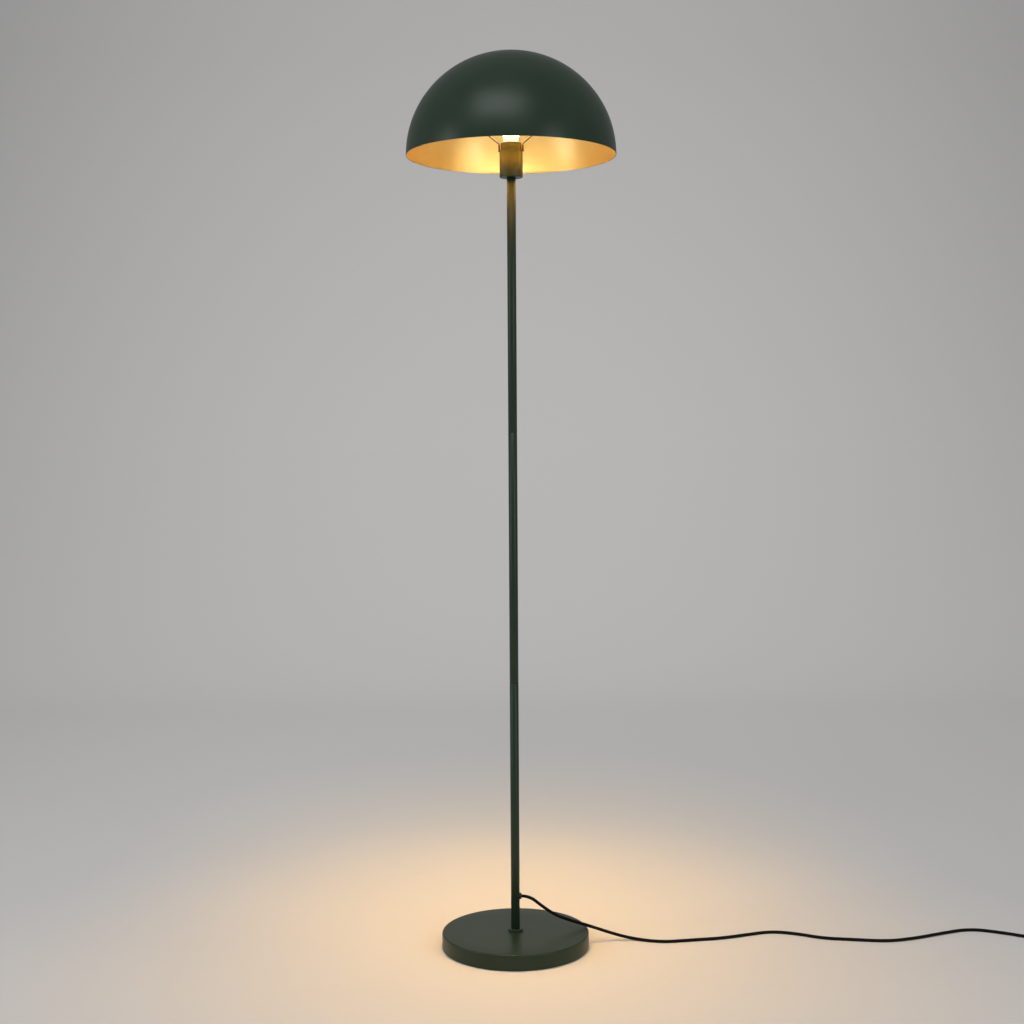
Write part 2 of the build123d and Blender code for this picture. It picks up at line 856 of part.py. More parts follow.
def make_switch_button():
    """Round foot button with a flange that keeps it under the cover."""
    cap = ring(0, button_radius, button_low, button_top)
    cap = fillet(circles(cap, button_radius, button_top), button_edge_radius)
    return switch_place(cap + ring(0, button_flange_radius, button_low, button_low + button_flange))


def make_switch_spring():
    """Open coil spring between the contact block and the button."""
    low = block_high + moving_gap + spring_wire / 2
    high = button_low - moving_gap - spring_wire / 2
    rise = high - low
    path = Helix(rise / spring_turns, rise, spring_radius, center=(0, 0, low))
    return switch_place(tube(path, spring_wire / 2))


def make_switch_block():
    """The contact block that the button works."""
    return switch_place(block(contact_block_size, contact_block_size, block_low, block_high))


def make_gland(root_length, root_radius):
    """Tapered strain relief along +X from its tip at x = 0, with its neck in the housing."""
    outline = [
        (cord_radius + fit, 0),
        (gland_tip_radius, 0),
        (gland_root_radius, gland_length),
        (root_radius, gland_length),
        (root_radius, gland_length + root_length),
        (cord_radius + fit, gland_length + root_length),
    ]
    return Rot(0, 90, 0) * turned(*outline)


def make_switch_gland(side):
    """Strain relief with the flex in it, on one end of the foot switch."""
    neck = switch_wall + fit
    flange = Rot(0, 90, 0) * ring(
        cord_radius + fit, gland_flange_radius, gland_length + neck, gland_length + neck + gland_flange
    )
    body = make_gland(neck + gland_flange, gland_root_radius - fit) + flange
    tip = switch_length / 2 + gland_length
    turned_round = Rot(0, 0, 0 if side < 0 else 180)
    return switch_place(Pos(side * tip, 0, switch_cord_height) * turned_round * body)


def make_flex_ends():
    """The flex's ends inside the switch's two strain reliefs and the plug's one."""
    length = gland_length + switch_length / 2 - contact_block_size / 2 - flex_end_gap
    rod = Rot(0, 90, 0) * ring(0, cord_radius, 0, length)
    tip = switch_length / 2 + gland_length
    left = Pos(-tip, 0, switch_cord_height) * rod
    right = Pos(tip, 0, switch_cord_height) * Rot(0, 0, 180) * rod
    in_plug = plug_place(Rot(0, 90, 0) * ring(0, cord_radius, -gland_length, pin_root))
    return [switch_place(left), switch_place(right), in_plug]


# ---------------------------------------------------------------- plug
def plug_place(solid):
    return Pos(plug_x, plug_y, plug_axis) * solid


def make_plug_body():
    """Flat moulded plug, narrow at the cord and wide at the pins."""
    neck = Plane.YZ * RectangleRounded(plug_neck_width, plug_neck_height, plug_corner)
    shoulder = Plane.YZ.offset(plug_shoulder) * RectangleRounded(plug_width, plug_height, plug_corner)
    face = Plane.YZ.offset(plug_length) * RectangleRounded(plug_width, plug_height, plug_corner)
    body = loft([neck, shoulder], ruled=True) + loft([shoulder, face], ruled=True)
    for side in (-1, 1):
        body -= cross_rod(pin_radius + fit, pin_root, plug_length - pin_root / 2, side * pin_spacing / 2)
    return plug_place(body - cross_rod(gland_root_radius, pin_root, pin_root / 2))


def make_plug_pins():
    """Two round pins, rooted in the body."""
    pins = []
    for side in (-1, 1):
        rod = ring(0, pin_radius, plug_length - pin_root, plug_length + pin_length)
        rod = fillet(circles(rod, pin_radius, plug_length + pin_length), pin_tip_radius)
        pins.append(plug_place(Pos(0, side * pin_spacing / 2, 0) * Rot(0, 90, 0) * rod))
    return pins


def make_plug_gland():
    """Strain relief on the plug's cord end."""
    body = make_gland(pin_root, gland_root_radius - fit)
    return Pos(plug_x - gland_length, plug_y, plug_axis) * body


# ---------------------------------------------------------------- coil
def coil_stops():
    """Where each half turn of the coil ends: its distance from the centre and its height."""
    step = coil_pitch / 2
    inward = [(coil_outer - step * index, coil_low) for index in range(coil_half_turns + 1)]
    outward = [(distance, coil_high) for distance, _ in reversed(inward)]
    return inward + outward


def coil_path():
    """In along the floor layer, up in one half turn and out again, counter-clockwise from above."""
    centre = Vector(coil_x, coil_y, 0)
    stops = []
    for index, (distance, height) in enumerate(coil_stops()):
        side = 1 if index % 2 == 0 else -1
        stops.append(centre + Vector(0, side * distance, height))
    edges = [Line(stops[0] + Vector(cord_diameter, 0, 0), stops[0])]
    heading = Vector(-1, 0, 0)
    for start, end in zip(stops, stops[1:]):
        edges += quarter_arcs(start, end, heading)
        heading = heading * -1
    edges.append(Line(stops[-1], stops[-1] + heading * cord_diameter))
    return Wire(edges)


def least_gap(path, steps=900, skip=2.5):
    """Least room between the cord's surfaces at points more than skip diameters apart."""
    spots = [path @ (index / steps) for index in range(steps + 1)]
    stride = math.ceil(skip * cord_diameter / (path.length / steps))
    least = min(
        (spots[a] - spots[b]).length
        for a in range(0, len(spots) - stride)
        for b in range(a + stride, len(spots))
    )
    return least - cord_diameter


def make_cord_coil():
    path = coil_path()
    solid = tube(path, cord_radius)
    expected = math.pi * cord_radius**2 * path.length
    print("cord_coil length", round(path.length, 1), "least gap to itself", round(least_gap(path), 3))
    print("cord_coil volume over section times length", round(solid.volume / expected, 5))
    return solid


def make_coil_tie():
    """A band round the bundle of turns, on the coil's -X side."""
    inner_edge = coil_outer - coil_pitch / 2 * coil_half_turns - cord_radius - tie_side_room
    outer_edge = coil_outer + cord_radius + tie_side_room
    low = tie_thickness
    high = coil_high + cord_radius + tie_room
    middle = (inner_edge + outer_edge) / 2
    wide = outer_edge - inner_edge
    tall = high - low
    both_sides = 2 * tie_thickness
    hollow = RectangleRounded(wide, tall, tie_corner)
    skin = RectangleRounded(wide + both_sides, tall + both_sides, tie_corner + tie_thickness)
    band = extrude(Plane.XZ * (skin - hollow), tie_width / 2, both=True)
    return Pos(coil_x - middle, coil_y, (low + high) / 2) * band


# ---------------------------------------------------------------- writing
pieces = {
    "base_cover": make_base_cover(),
    "base_weight": make_base_weight(),
    "base_pad": make_base_pad(),
    "base_bolt": make_base_bolt(),
    "base_washer": make_base_washer(),
    "base_lock_washer": make_base_lock_washer(),
    "pole_collar": make_collar(),
    "pole_foot_bush": make_foot_bush(),
    "pole_lower": make_lower_tube(),
    "pole_middle": make_pole_tube(1),
    "pole_upper": make_pole_tube(2),
    "lower_joint_bush": make_joint_bush(1),
    "lower_joint_stud": make_joint_stud(1),
    "upper_joint_bush": make_joint_bush(2),
    "upper_joint_stud": make_joint_stud(2),
    "pole_top_bush": make_joint_bush(pole_sections),
    "cord_grommet": make_grommet(),
    "inner_lead": make_inner_lead(),
    "lead_cores": make_lead_cores(),
    "holder_cup": make_holder_cup(),
    "holder_nipple": make_holder_nipple(),
    "holder_nut": make_holder_nut(),
    "holder_body": make_holder_body(),
    "holder_terminals": make_holder_terminals(),
    "holder_terminal_screws": make_terminal_screws(),
    "holder_contact": make_holder_contact(),
    "holder_shell": make_holder_shell(),
    "holder_ring": make_holder_ring(),
    "harp_saddle": make_harp_saddle(),
    "harp_ferrules": make_harp_ferrules(),
    "harp_wire": make_harp_wire(),
    "harp_seat": make_harp_seat(),
    "finial_stud": make_finial_stud(),
    "shade": make_shade(),
    "shade_washer": make_shade_washer(),
    "cap_nut": make_cap_nut(),
    "bulb_globe": make_bulb_globe(),
    "bulb_screw_cap": make_bulb_cap(),
    "bulb_insulator": make_bulb_insulator(),
    "bulb_contact": make_bulb_contact(),
    "bulb_stem": make_bulb_stem(),
    "bulb_filaments": make_bulb_filaments(),
    "cord_lead": cord_along("cord_lead", lead_route),
    "switch_inlet_gland": make_switch_gland(-1),
    "switch_outlet_gland": make_switch_gland(1),
    "flex_ends": make_flex_ends(),
    "switch_base": make_switch_base(),
    "switch_cover": make_switch_cover(),
    "switch_button": make_switch_button(),
    "switch_spring": make_switch_spring(),
    "switch_contact_block": make_switch_block(),
    "switch_screws": make_switch_screws(),
    "switch_feet": make_switch_feet(),
    "cord_tail": cord_along("cord_tail", tail_route),
    "cord_coil": make_cord_coil(),
    "coil_tie": make_coil_tie(),
    "cord_end": cord_along("cord_end", end_route),
    "plug_body": make_plug_body(),
    "plug_pins": make_plug_pins(),
    "plug_gland": make_plug_gland(),
}

os.makedirs("parts", exist_ok=True)
for name, shape in pieces.items():
    solids = shape if isinstance(shape, list) else [shape]
    export_step(Compound(children=[s for part in solids for s in part.solids()]), f"parts/{name}.step")
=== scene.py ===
import logging
import math
from collections.abc import Callable, Iterator, Sequence
from contextlib import contextmanager
from dataclasses import dataclass
from enum import Enum
from typing import Protocol

import bmesh
import bpy
from mathutils import Matrix, Vector


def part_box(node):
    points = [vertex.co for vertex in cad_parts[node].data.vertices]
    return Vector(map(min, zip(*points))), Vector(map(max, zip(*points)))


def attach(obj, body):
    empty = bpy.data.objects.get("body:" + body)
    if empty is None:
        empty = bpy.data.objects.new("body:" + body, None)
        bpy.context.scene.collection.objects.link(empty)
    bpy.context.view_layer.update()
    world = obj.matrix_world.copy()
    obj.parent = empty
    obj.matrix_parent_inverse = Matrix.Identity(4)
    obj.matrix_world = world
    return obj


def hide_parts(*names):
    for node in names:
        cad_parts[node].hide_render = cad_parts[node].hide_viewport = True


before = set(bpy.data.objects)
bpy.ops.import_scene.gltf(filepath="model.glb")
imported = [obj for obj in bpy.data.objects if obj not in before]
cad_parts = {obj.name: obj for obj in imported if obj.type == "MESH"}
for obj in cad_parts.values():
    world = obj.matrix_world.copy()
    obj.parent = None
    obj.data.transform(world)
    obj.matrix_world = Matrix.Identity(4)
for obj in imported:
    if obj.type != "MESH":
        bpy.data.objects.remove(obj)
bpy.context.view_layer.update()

LOG = logging.getLogger("lamp")
MM = 0.001
FULL_TURN = 2 * math.pi
QUARTER_TURN = math.pi / 2
ON_LEVEL = 1e-5
ALIGNED = 0.9
NOISE_LOW = 0.3
NOISE_HIGH = 0.7
Point = tuple[float, float, float]
Outline = Sequence[tuple[float, float]]
Socket = bpy.types.NodeSocket


# ------------------------------------------------------------------ colours and shader nodes
def linear(colour: str) -> tuple[float, float, float, float]:
    """Turns an sRGB hex colour into the linear values that shaders use.

    Args:
        colour: Six hex digits, such as "8a5a2b".

    Returns:
        Linear red, green, blue and an alpha of 1.
    """
    parts = [int(colour[i:i + 2], 16) / 255 for i in (0, 2, 4)]
    curve = [c / 12.92 if c <= 0.04045 else ((c + 0.055) / 1.055) ** 2.4 for c in parts]
    return (curve[0], curve[1], curve[2], 1.0)


def add_node(
    tree: bpy.types.NodeTree, kind: str, inputs: dict | None = None, **settings: object
) -> bpy.types.Node:
    """Adds one node to a node tree, with its settings and links.

    Args:
        tree: The node tree that gets the node.
        kind: The node's type, without the leading "ShaderNode".
        inputs: Socket name or number to a constant or to another node's output socket.
        settings: Attributes of the node itself.

    Returns:
        The new node.
    """
    node = tree.nodes.new("ShaderNode" + kind)
    for name, value in settings.items():
        setattr(node, name, value)
    for name, value in (inputs or {}).items():
        if isinstance(value, bpy.types.NodeSocket):
            tree.links.new(value, node.inputs[name])
        else:
            node.inputs[name].default_value = value
    return node


def ramp(tree: bpy.types.NodeTree, factor: Socket, stops: Sequence[tuple[float, str]]) -> Socket:
    """Adds a colour ramp.

    Args:
        tree: The node tree.
        factor: The value that runs along the ramp.
        stops: Place from 0 to 1 and hex colour of each stop.

    Returns:
        The ramp's colour output.
    """
    node = add_node(tree, "ValToRGB", {"Fac": factor})
    elements = node.color_ramp.elements
    while len(elements) < len(stops):
        elements.new(0.5)
    for element, (place, colour) in zip(elements, stops):
        element.position = place
        element.color = linear(colour)
    return node.outputs["Color"]


class Recipe:
    """A material under way, with patterns that are laid out on the object's own coordinates."""

    def __init__(self, name: str) -> None:
        """Makes an empty node material."""
        self.material = bpy.data.materials.new(name)
        self.material.use_nodes = True
        self.tree = self.material.node_tree
        self.tree.nodes.clear()
        self.spot = add_node(self.tree, "TexCoord").outputs["Object"]

    def mapped(self, scale: Point, shift: Point = (0.0, 0.0, 0.0)) -> Socket:
        """Scales and shifts the object's coordinates."""
        inputs = {"Vector": self.spot, "Scale": scale, "Location": shift}
        return add_node(self.tree, "Mapping", inputs).outputs["Vector"]

    def noise(self, size_mm: float, detail: float, scale: Point = (1.0, 1.0, 1.0)) -> Socket:
        """Adds noise.

        Args:
            size_mm: About how large one patch is.
            detail: How many finer layers it has.
            scale: Below 1 draws the patches out along that axis.

        Returns:
            The noise, from 0 to 1.
        """
        inputs = {"Vector": self.mapped(scale), "Scale": 1 / (size_mm * MM), "Detail": detail}
        return add_node(self.tree, "TexNoise", inputs).outputs["Fac"]

    def shades(self, value: Socket, dark: str, light: str) -> Socket:
        """Colours a noise from dark to light."""
        return ramp(self.tree, value, [(NOISE_LOW, dark), (NOISE_HIGH, light)])

    def between(
        self, value: Socket, low: float, high: float, start: float = NOISE_LOW, end: float = NOISE_HIGH
    ) -> Socket:
        """Spreads a value that runs from start to end over the range from low to high."""
        inputs = {"Value": value, 1: start, 2: end, 3: low, 4: high}
        return add_node(self.tree, "MapRange", inputs).outputs[0]

    def relief(self, height: Socket, depth_mm: float) -> Socket:
        """Turns a height into bumps of a depth."""
        inputs = {"Height": height, "Strength": 1.0, "Distance": depth_mm * MM}
        return add_node(self.tree, "Bump", inputs).outputs["Normal"]

    def combined(self, operation: str, first: Socket, second: Socket | float) -> Socket:
        """Adds one sum."""
        return add_node(self.tree, "Math", {0: first, 1: second}, operation=operation).outputs[0]

    def done(self, inputs: dict, kind: str = "BsdfPrincipled") -> bpy.types.Material:
        """Adds the shader and returns the finished material.

        Args:
            inputs: The shader's inputs.
            kind: The shader's type.

        Returns:
            The material.
        """
        surface = add_node(self.tree, kind, inputs)
        add_node(self.tree, "OutputMaterial", {"Surface": surface.outputs[0]})
        return self.material


class Surface(Protocol):
    """Anything that has a name and can make its material."""

    name: str

    def build(self) -> bpy.types.Material:
        """Makes the material."""


class Grain(Enum):
    """How the fine relief of a finish runs."""

    EVEN = (1.0, 1.0, 1.0)
    ALONG_X = (0.04, 1.0, 1.0)
    ROUND_Z = (0.12, 0.12, 1.0)


@dataclass(frozen=True)
class Finish:
    """A finish whose colour, gloss and relief vary by noise on the object's own coordinates."""

    name: str
    dark: str
    light: str
    metallic: float
    roughness: tuple[float, float]
    patch_mm: float
    grain_mm: float
    relief_mm: float
    grain: Grain = Grain.EVEN
    ior: float | None = None
    sheen: float = 0.0

    def build(self) -> bpy.types.Material:
        """Makes the material.

        Returns:
            The material.
        """
        recipe = Recipe(self.name)
        patches = recipe.noise(self.patch_mm, 3.0)
        fine = recipe.noise(self.grain_mm, 2.0, self.grain.value)
        mixed = recipe.combined("MULTIPLY", recipe.combined("ADD", patches, fine), 0.5)
        inputs = {
            "Base Color": recipe.shades(mixed, self.dark, self.light),
            "Metallic": self.metallic,
            "Roughness": recipe.between(mixed, *self.roughness),
            "Normal": recipe.relief(fine, self.relief_mm),
            "Sheen Weight": self.sheen,
        }
        if self.ior is not None:
            inputs["IOR"] = self.ior
        return recipe.done(inputs)


@dataclass(frozen=True)
class SpunGold:
    """Gold-anodised aluminium under a clear skin; its spun rings draw reflections up and down."""

    name: str = "gold_anodised_spun"
    dark: str = "ecc264"
    light: str = "efc86c"
    roughness: tuple[float, float] = (0.44, 0.465)
    ring_mm: float = 1.3
    relief_mm: float = 0.03
    cloud_mm: float = 45.0
    cloud_scale: Point = (1.0, 1.0, 0.25)
    skin: float = 1.0
    skin_roughness: float = 0.34
    skin_ior: float = 2.0

    def build(self) -> bpy.types.Material:
        """Makes the material.

        Returns:
            The material.
        """
        recipe = Recipe(self.name)
        rings = add_node(
            recipe.tree,
            "TexWave",
            {
                "Vector": recipe.spot,
                "Scale": math.pi / (10 * self.ring_mm * MM),
                "Distortion": 0.8,
                "Detail": 2.0,
            },
            wave_type="BANDS",
            bands_direction="Z",
        )
        cloud = recipe.noise(self.cloud_mm, 2.0, self.cloud_scale)
        return recipe.done({
            "Base Color": recipe.shades(cloud, self.dark, self.light),
            "Metallic": 1.0,
            "Roughness": recipe.between(cloud, *self.roughness),
            "Normal": recipe.relief(rings.outputs["Fac"], self.relief_mm),
            "Coat Weight": self.skin,
            "Coat Roughness": self.skin_roughness,
            "Coat IOR": self.skin_ior,
        })


@dataclass(frozen=True)
class LitOpal:
    """Opal glass of a bulb that is switched on: the globe glows, and its neck only a little."""

    name: str = "opal_glass_blown_lit"
    glow: str = "fff4e0"
    neck_glow: str = "fffaee"
    glass: str = "fff6e2"
    neck_low: float = 1.366
    neck_high: float = 1.386
    neck_strength: float = 0.5
    strength: float = 20.5
    cloud_mm: float = 20.0
    roughness: float = 0.35
    ior: float = 1.5

    def build(self) -> bpy.types.Material:
        """Makes the material.

        Returns:
            The material.
        """
        recipe = Recipe(self.name)
        colour = recipe.shades(recipe.noise(self.cloud_mm, 2.0), self.glow, self.glass)
        height = add_node(recipe.tree, "SeparateXYZ", {0: recipe.spot}).outputs["Z"]
        rise = recipe.between(height, 0.0, 1.0, self.neck_low, self.neck_high)
        glow = ramp(recipe.tree, rise, [(0.0, self.neck_glow), (0.6, self.glow)])
        tinted = {"Fac": 1.0, "Color1": colour, "Color2": glow}
        return recipe.done({
            "Base Color": add_node(recipe.tree, "MixRGB", tinted, blend_type="MULTIPLY").outputs[0],
            "Roughness": self.roughness,
            "IOR": self.ior,
            "Emission Color": glow,
            "Emission Strength": recipe.between(rise, self.neck_strength, self.strength, 0.0, 1.0),
        })


@dataclass(frozen=True)
class ClearGlass:
    """Clear drawn glass, as of a lamp's stem, with faint draw lines."""

    name: str = "clear_glass_drawn"
    tint: str = "eef4f2"
    roughness: tuple[float, float] = (0.03, 0.1)
    line_mm: float = 6.0
    clear: float = 0.9
    ior: float = 1.5

    def build(self) -> bpy.types.Material:
        """Makes the material.

        Returns:
            The material.
        """
        recipe = Recipe(self.name)
        return recipe.done({
            "Base Color": linear(self.tint),
            "Roughness": recipe.between(recipe.noise(self.line_mm, 1.0), *self.roughness, 0.0, 1.0),
            "Transmission Weight": self.clear,
            "IOR": self.ior,
        })


class Finishes:
    """Every finish of the lamp, named for what it is and how its surface was made."""

    # Polyester powder baked on steel: dark green, matt, with a fine even pimple and no metal showing.
    green_coat = Finish(
        "green_powder_coat_baked", "1a2a1e", "203024", 0.0, (0.34, 0.42), 60, 0.7, 0.012, ior=1.33
    )
    # Bronze paint dipped on the harp's wire: brown, with a little metal in it.
    bronze_coat = Finish("bronze_paint_dipped", "3a2c18", "4b3a22", 0.3, (0.4, 0.5), 12, 0.8, 0.01, ior=1.5)
    # Thin zinc on steel: pale, slightly blue, with turned lines.
    zinc = Finish(
        "zinc_plated_steel_turned", "8f9498", "b4b9bc", 1.0, (0.28, 0.4), 8, 0.5, 0.01, Grain.ROUND_Z
    )
    # Bare brass off the lathe: warm, with fine rings.
    brass = Finish("brass_turned", "a9823f", "c9a35a", 1.0, (0.25, 0.38), 7, 0.5, 0.01, Grain.ROUND_Z)
    # Nickel on drawn brass: pale, warm and nearly a mirror.
    nickel = Finish("nickel_plated_brass_drawn", "b7b2a6", "d2cec4", 1.0, (0.16, 0.28), 6, 0.4, 0.006)
    # Grey iron as cast: dark, grainy and dull.
    iron = Finish("grey_iron_sand_cast", "2b2b2a", "3b3a38", 0.6, (0.65, 0.8), 14, 1.1, 0.12)
    # Closed-cell foam, cut flat: black with a fine open grain.
    foam = Finish("foam_pad_cut", "161616", "222221", 0.0, (0.85, 0.95), 10, 0.9, 0.15, ior=1.45)
    # Extruded PVC of the flex: near black, brown in the light, and dull.
    sheath = Finish("pvc_sheath_extruded", "080604", "0e0a06", 0.0, (0.5, 0.6), 25, 0.8, 0.01, ior=1.22)
    # Soft moulded rubber or PVC, duller than the sheath.
    rubber = Finish("soft_pvc_moulded", "121110", "1b1a18", 0.0, (0.55, 0.7), 9, 0.6, 0.02, ior=1.5)
    # ABS, moulded in a spark-eroded tool: an even fine grain.
    abs_black = Finish("abs_moulded_grained", "131313", "1c1c1b", 0.0, (0.45, 0.58), 20, 0.55, 0.03, ior=1.53)
    # ABS from a polished tool: a grey button that shines a little.
    abs_grey = Finish("abs_moulded_polished", "2a2a29", "343432", 0.0, (0.28, 0.36), 20, 1.2, 0.006, ior=1.53)
    # Phenolic of a lampholder: brown-black and a bit glossy.
    phenolic = Finish("phenolic_moulded", "17110d", "231a13", 0.0, (0.3, 0.42), 9, 1.0, 0.01, ior=1.6)
    # Hook-and-loop strap: woven nylon with a short pile.
    nylon = Finish(
        "nylon_strap_woven", "101012", "1d1d20", 0.0, (0.8, 0.92), 5, 0.5, 0.12, Grain.ALONG_X, 1.5, 0.3
    )
    # Light sticks under their phosphor: amber and chalky.
    phosphor = Finish("phosphor_coated_stick", "d9a03c", "f0c465", 0.0, (0.6, 0.7), 3, 0.5, 0.02, ior=1.5)
    # Punched fibre washer: black-brown and dry.
    fibre = Finish("fibre_washer_punched", "1b1815", "26221d", 0.0, (0.8, 0.9), 4, 0.4, 0.03, ior=1.5)
    gold = SpunGold()
    opal = LitOpal()
    clear = ClearGlass()


class Palette:
    """Builds each finish once and hands it out."""

    def __init__(self) -> None:
        """Starts with nothing built."""
        self._built: dict[str, bpy.types.Material] = {}

    def get(self, finish: Surface) -> bpy.types.Material:
        """Returns the finish's material, and makes it the first time."""
        if finish.name not in self._built:
            self._built[finish.name] = finish.build()
        return self._built[finish.name]


PALETTE = Palette()


def dress(piece: bpy.types.Object, *finishes: Surface) -> None:
    """Gives a piece its finishes, one for each material slot, in order.

    Args:
        piece: A mesh or curve.
        finishes: The finishes; the first goes to slot 0.
    """
    piece.data.materials.clear()
    for finish in finishes:
        piece.data.materials.append(PALETTE.get(finish))


# ------------------------------------------------------------------ modelling by hand, in code
def deselect() -> None:
    """Leaves nothing selected and no active object."""
    bpy.ops.object.select_all(action="DESELECT")
    bpy.context.view_layer.objects.active = None


def activate(piece: bpy.types.Object) -> None:
    """Makes one piece the only selected and the active one."""
    deselect()
    piece.select_set(True)
    bpy.context.view_layer.objects.active = piece


@contextmanager
def editing(piece: bpy.types.Object) -> Iterator[bpy.types.Object]:
    """Opens a piece in edit mode, with nothing selected, and closes it again.

    Args:
        piece: The mesh to open.

    Yields:
        The piece.
    """
    activate(piece)
    bpy.ops.object.mode_set(mode="EDIT")
    bpy.ops.mesh.select_all(action="DESELECT")
    try:
        yield piece
    finally:
        bpy.ops.object.mode_set(mode="OBJECT")


def named(name: str) -> bpy.types.Object:
    """Names the object that an operator has just added and fixes its place in its mesh.

    Args:
        name: The piece's name.

    Returns:
        The object.
    """
    piece = bpy.context.active_object
    piece.name = name
    piece.data.name = name
    bpy.ops.object.transform_apply(location=True, rotation=True, scale=True)
    return piece


def pick_faces(piece: bpy.types.Object, test: Callable[[bmesh.types.BMFace], bool]) -> None:
    """Selects the faces of a piece in edit mode that pass a test, and nothing else.

    Args:
        piece: The piece in edit mode.
        test: Says for a face whether it is wanted.
    """
    bpy.ops.mesh.select_mode(type="FACE")
    mesh = bmesh.from_edit_mesh(piece.data)
    for face in mesh.faces:
        face.select_set(bool(test(face)))
    bmesh.update_edit_mesh(piece.data)


def pick_level(piece: bpy.types.Object, level: float) -> None:
    """Selects the flat faces of a piece in edit mode that lie at a height."""
    pick_faces(piece, lambda face: abs(face.calc_center_median().z - level) < ON_LEVEL)


def pick_verts(piece: bpy.types.Object, test: Callable[[Vector], bool]) -> None:
    """Selects the points of a piece in edit mode that pass a test, and nothing else.

    Args:
        piece: The piece in edit mode.
        test: Says for a place whether the point there is wanted.
    """
    bpy.ops.mesh.select_mode(type="VERT")
    bpy.ops.mesh.select_all(action="DESELECT")
    mesh = bmesh.from_edit_mesh(piece.data)
    for vert in mesh.verts:
        vert.select_set(bool(test(vert.co)))
    mesh.select_flush(True)
    bmesh.update_edit_mesh(piece.data)


def pick_edges(piece: bpy.types.Object, axis: str) -> None:
    """Selects the edges of a piece in edit mode that run along an axis, and nothing else.

    Args:
        piece: The piece in edit mode.
        axis: The axis, "x", "y" or "z".
    """
    bpy.ops.mesh.select_mode(type="EDGE")
    mesh = bmesh.from_edit_mesh(piece.data)
    for line in mesh.edges:
        run = (line.verts[0].co - line.verts[1].co).normalized()
        line.select_set(abs(getattr(run, axis)) > ALIGNED)
    bmesh.update_edit_mesh(piece.data)


def apply_modifiers(piece: bpy.types.Object) -> None:
    """Applies every modifier of a piece, in order."""
    activate(piece)
    for modifier in list(piece.modifiers):
        bpy.ops.object.modifier_apply(modifier=modifier.name)


def bevel(piece: bpy.types.Object, width: float, segments: int = 3, angle: float = 35) -> None:
    """Rounds a piece's sharp edges and applies that.

    Args:
        piece: The mesh.
        width: The rounding's width in metres.
        segments: How many faces round each edge.
        angle: Edges sharper than this many degrees are rounded.
    """
    modifier = piece.modifiers.new("bevel", "BEVEL")
    modifier.width = width
    modifier.segments = segments
    modifier.limit_method = "ANGLE"
    modifier.angle_limit = math.radians(angle)
    modifier.harden_normals = False
    apply_modifiers(piece)


def smooth(piece: bpy.types.Object, angle: float = 32) -> None:
    """Shades a piece smooth, with edges sharper than an angle left crisp."""
    activate(piece)
    bpy.ops.object.shade_smooth_by_angle(angle=math.radians(angle))


def cut_out(piece: bpy.types.Object, cutter: bpy.types.Object) -> None:
    """Cuts one solid out of another and throws the cutter away.

    Args:
        piece: What is cut.
        cutter: The solid that takes its room out of the piece.
    """
    modifier = piece.modifiers.new("cut", "BOOLEAN")
    modifier.operation = "DIFFERENCE"
    modifier.solver = "EXACT"
    modifier.object = cutter
    apply_modifiers(piece)
    bpy.data.objects.remove(cutter)


def drill(
    piece: bpy.types.Object, radius: float, depth: float, place: Point, along_x: bool, facets: int = 64
) -> None:
    """Drills a round hole, upwards or along X.

    Args:
        piece: The piece that gets the hole.
        radius: The hole's radius.
        depth: The drill's length.
        place: The drill's middle.
        along_x: Whether the drill lies along X; if not, it stands up.
        facets: Faces round the hole.
    """
    deselect()
    bpy.ops.mesh.primitive_cylinder_add(
        vertices=facets, radius=radius, depth=depth, location=place,
        rotation=(0, QUARTER_TURN if along_x else 0, 0),
    )
    cut_out(piece, named("drill"))


def block(name: str, centre: Sequence[float], size: Sequence[float]) -> bpy.types.Object:
    """Adds a cube drawn out to a size, as the start of a piece.

    Args:
        name: The piece's name.
        centre: Its middle.
        size: Its lengths along X, Y and Z.

    Returns:
        The block.
    """
    deselect()
    bpy.ops.mesh.primitive_cube_add(size=1, location=tuple(centre))
    bpy.context.active_object.scale = tuple(size)
    return named(name)


def turned(name: str, outline: Outline, steps: int = 96, closed: bool = True) -> bpy.types.Object:
    """Turns a piece about Z, as on a lathe: one point is extruded along the outline and spun.

    Args:
        name: The piece's name.
        outline: (radius, height) of each corner, in metres.
        steps: Faces round the piece.
        closed: Whether the outline comes back to its first point; if not, both ends are on the axis.

    Returns:
        The piece, closed and with its faces outwards.
    """
    deselect()
    bpy.ops.mesh.primitive_plane_add(size=2, location=(0, 0, 0))
    piece = named(name)
    first = Vector((outline[0][0], 0, outline[0][1]))
    with editing(piece):
        pick_verts(piece, lambda co: co.x < 0 or co.y < 0)
        bpy.ops.mesh.delete(type="VERT")
        pick_verts(piece, lambda co: True)
        bpy.ops.transform.translate(value=first - Vector((1, 1, 0)))
        for (r0, z0), (r1, z1) in zip(outline, outline[1:]):
            bpy.ops.mesh.extrude_vertices_move(TRANSFORM_OT_translate={"value": (r1 - r0, 0, z1 - z0)})
        if closed:
            bpy.ops.mesh.extrude_vertices_move(
                TRANSFORM_OT_translate={"value": first - Vector((outline[-1][0], 0, outline[-1][1]))}
            )
        bpy.ops.mesh.select_all(action="SELECT")
        bpy.ops.mesh.spin(
            steps=steps, angle=FULL_TURN, center=(0, 0, 0), axis=(0, 0, 1), use_auto_merge=True
        )
        bpy.ops.mesh.select_all(action="SELECT")
        bpy.ops.mesh.remove_doubles(threshold=1e-6)
        bpy.ops.mesh.normals_make_consistent(inside=False)
    return piece


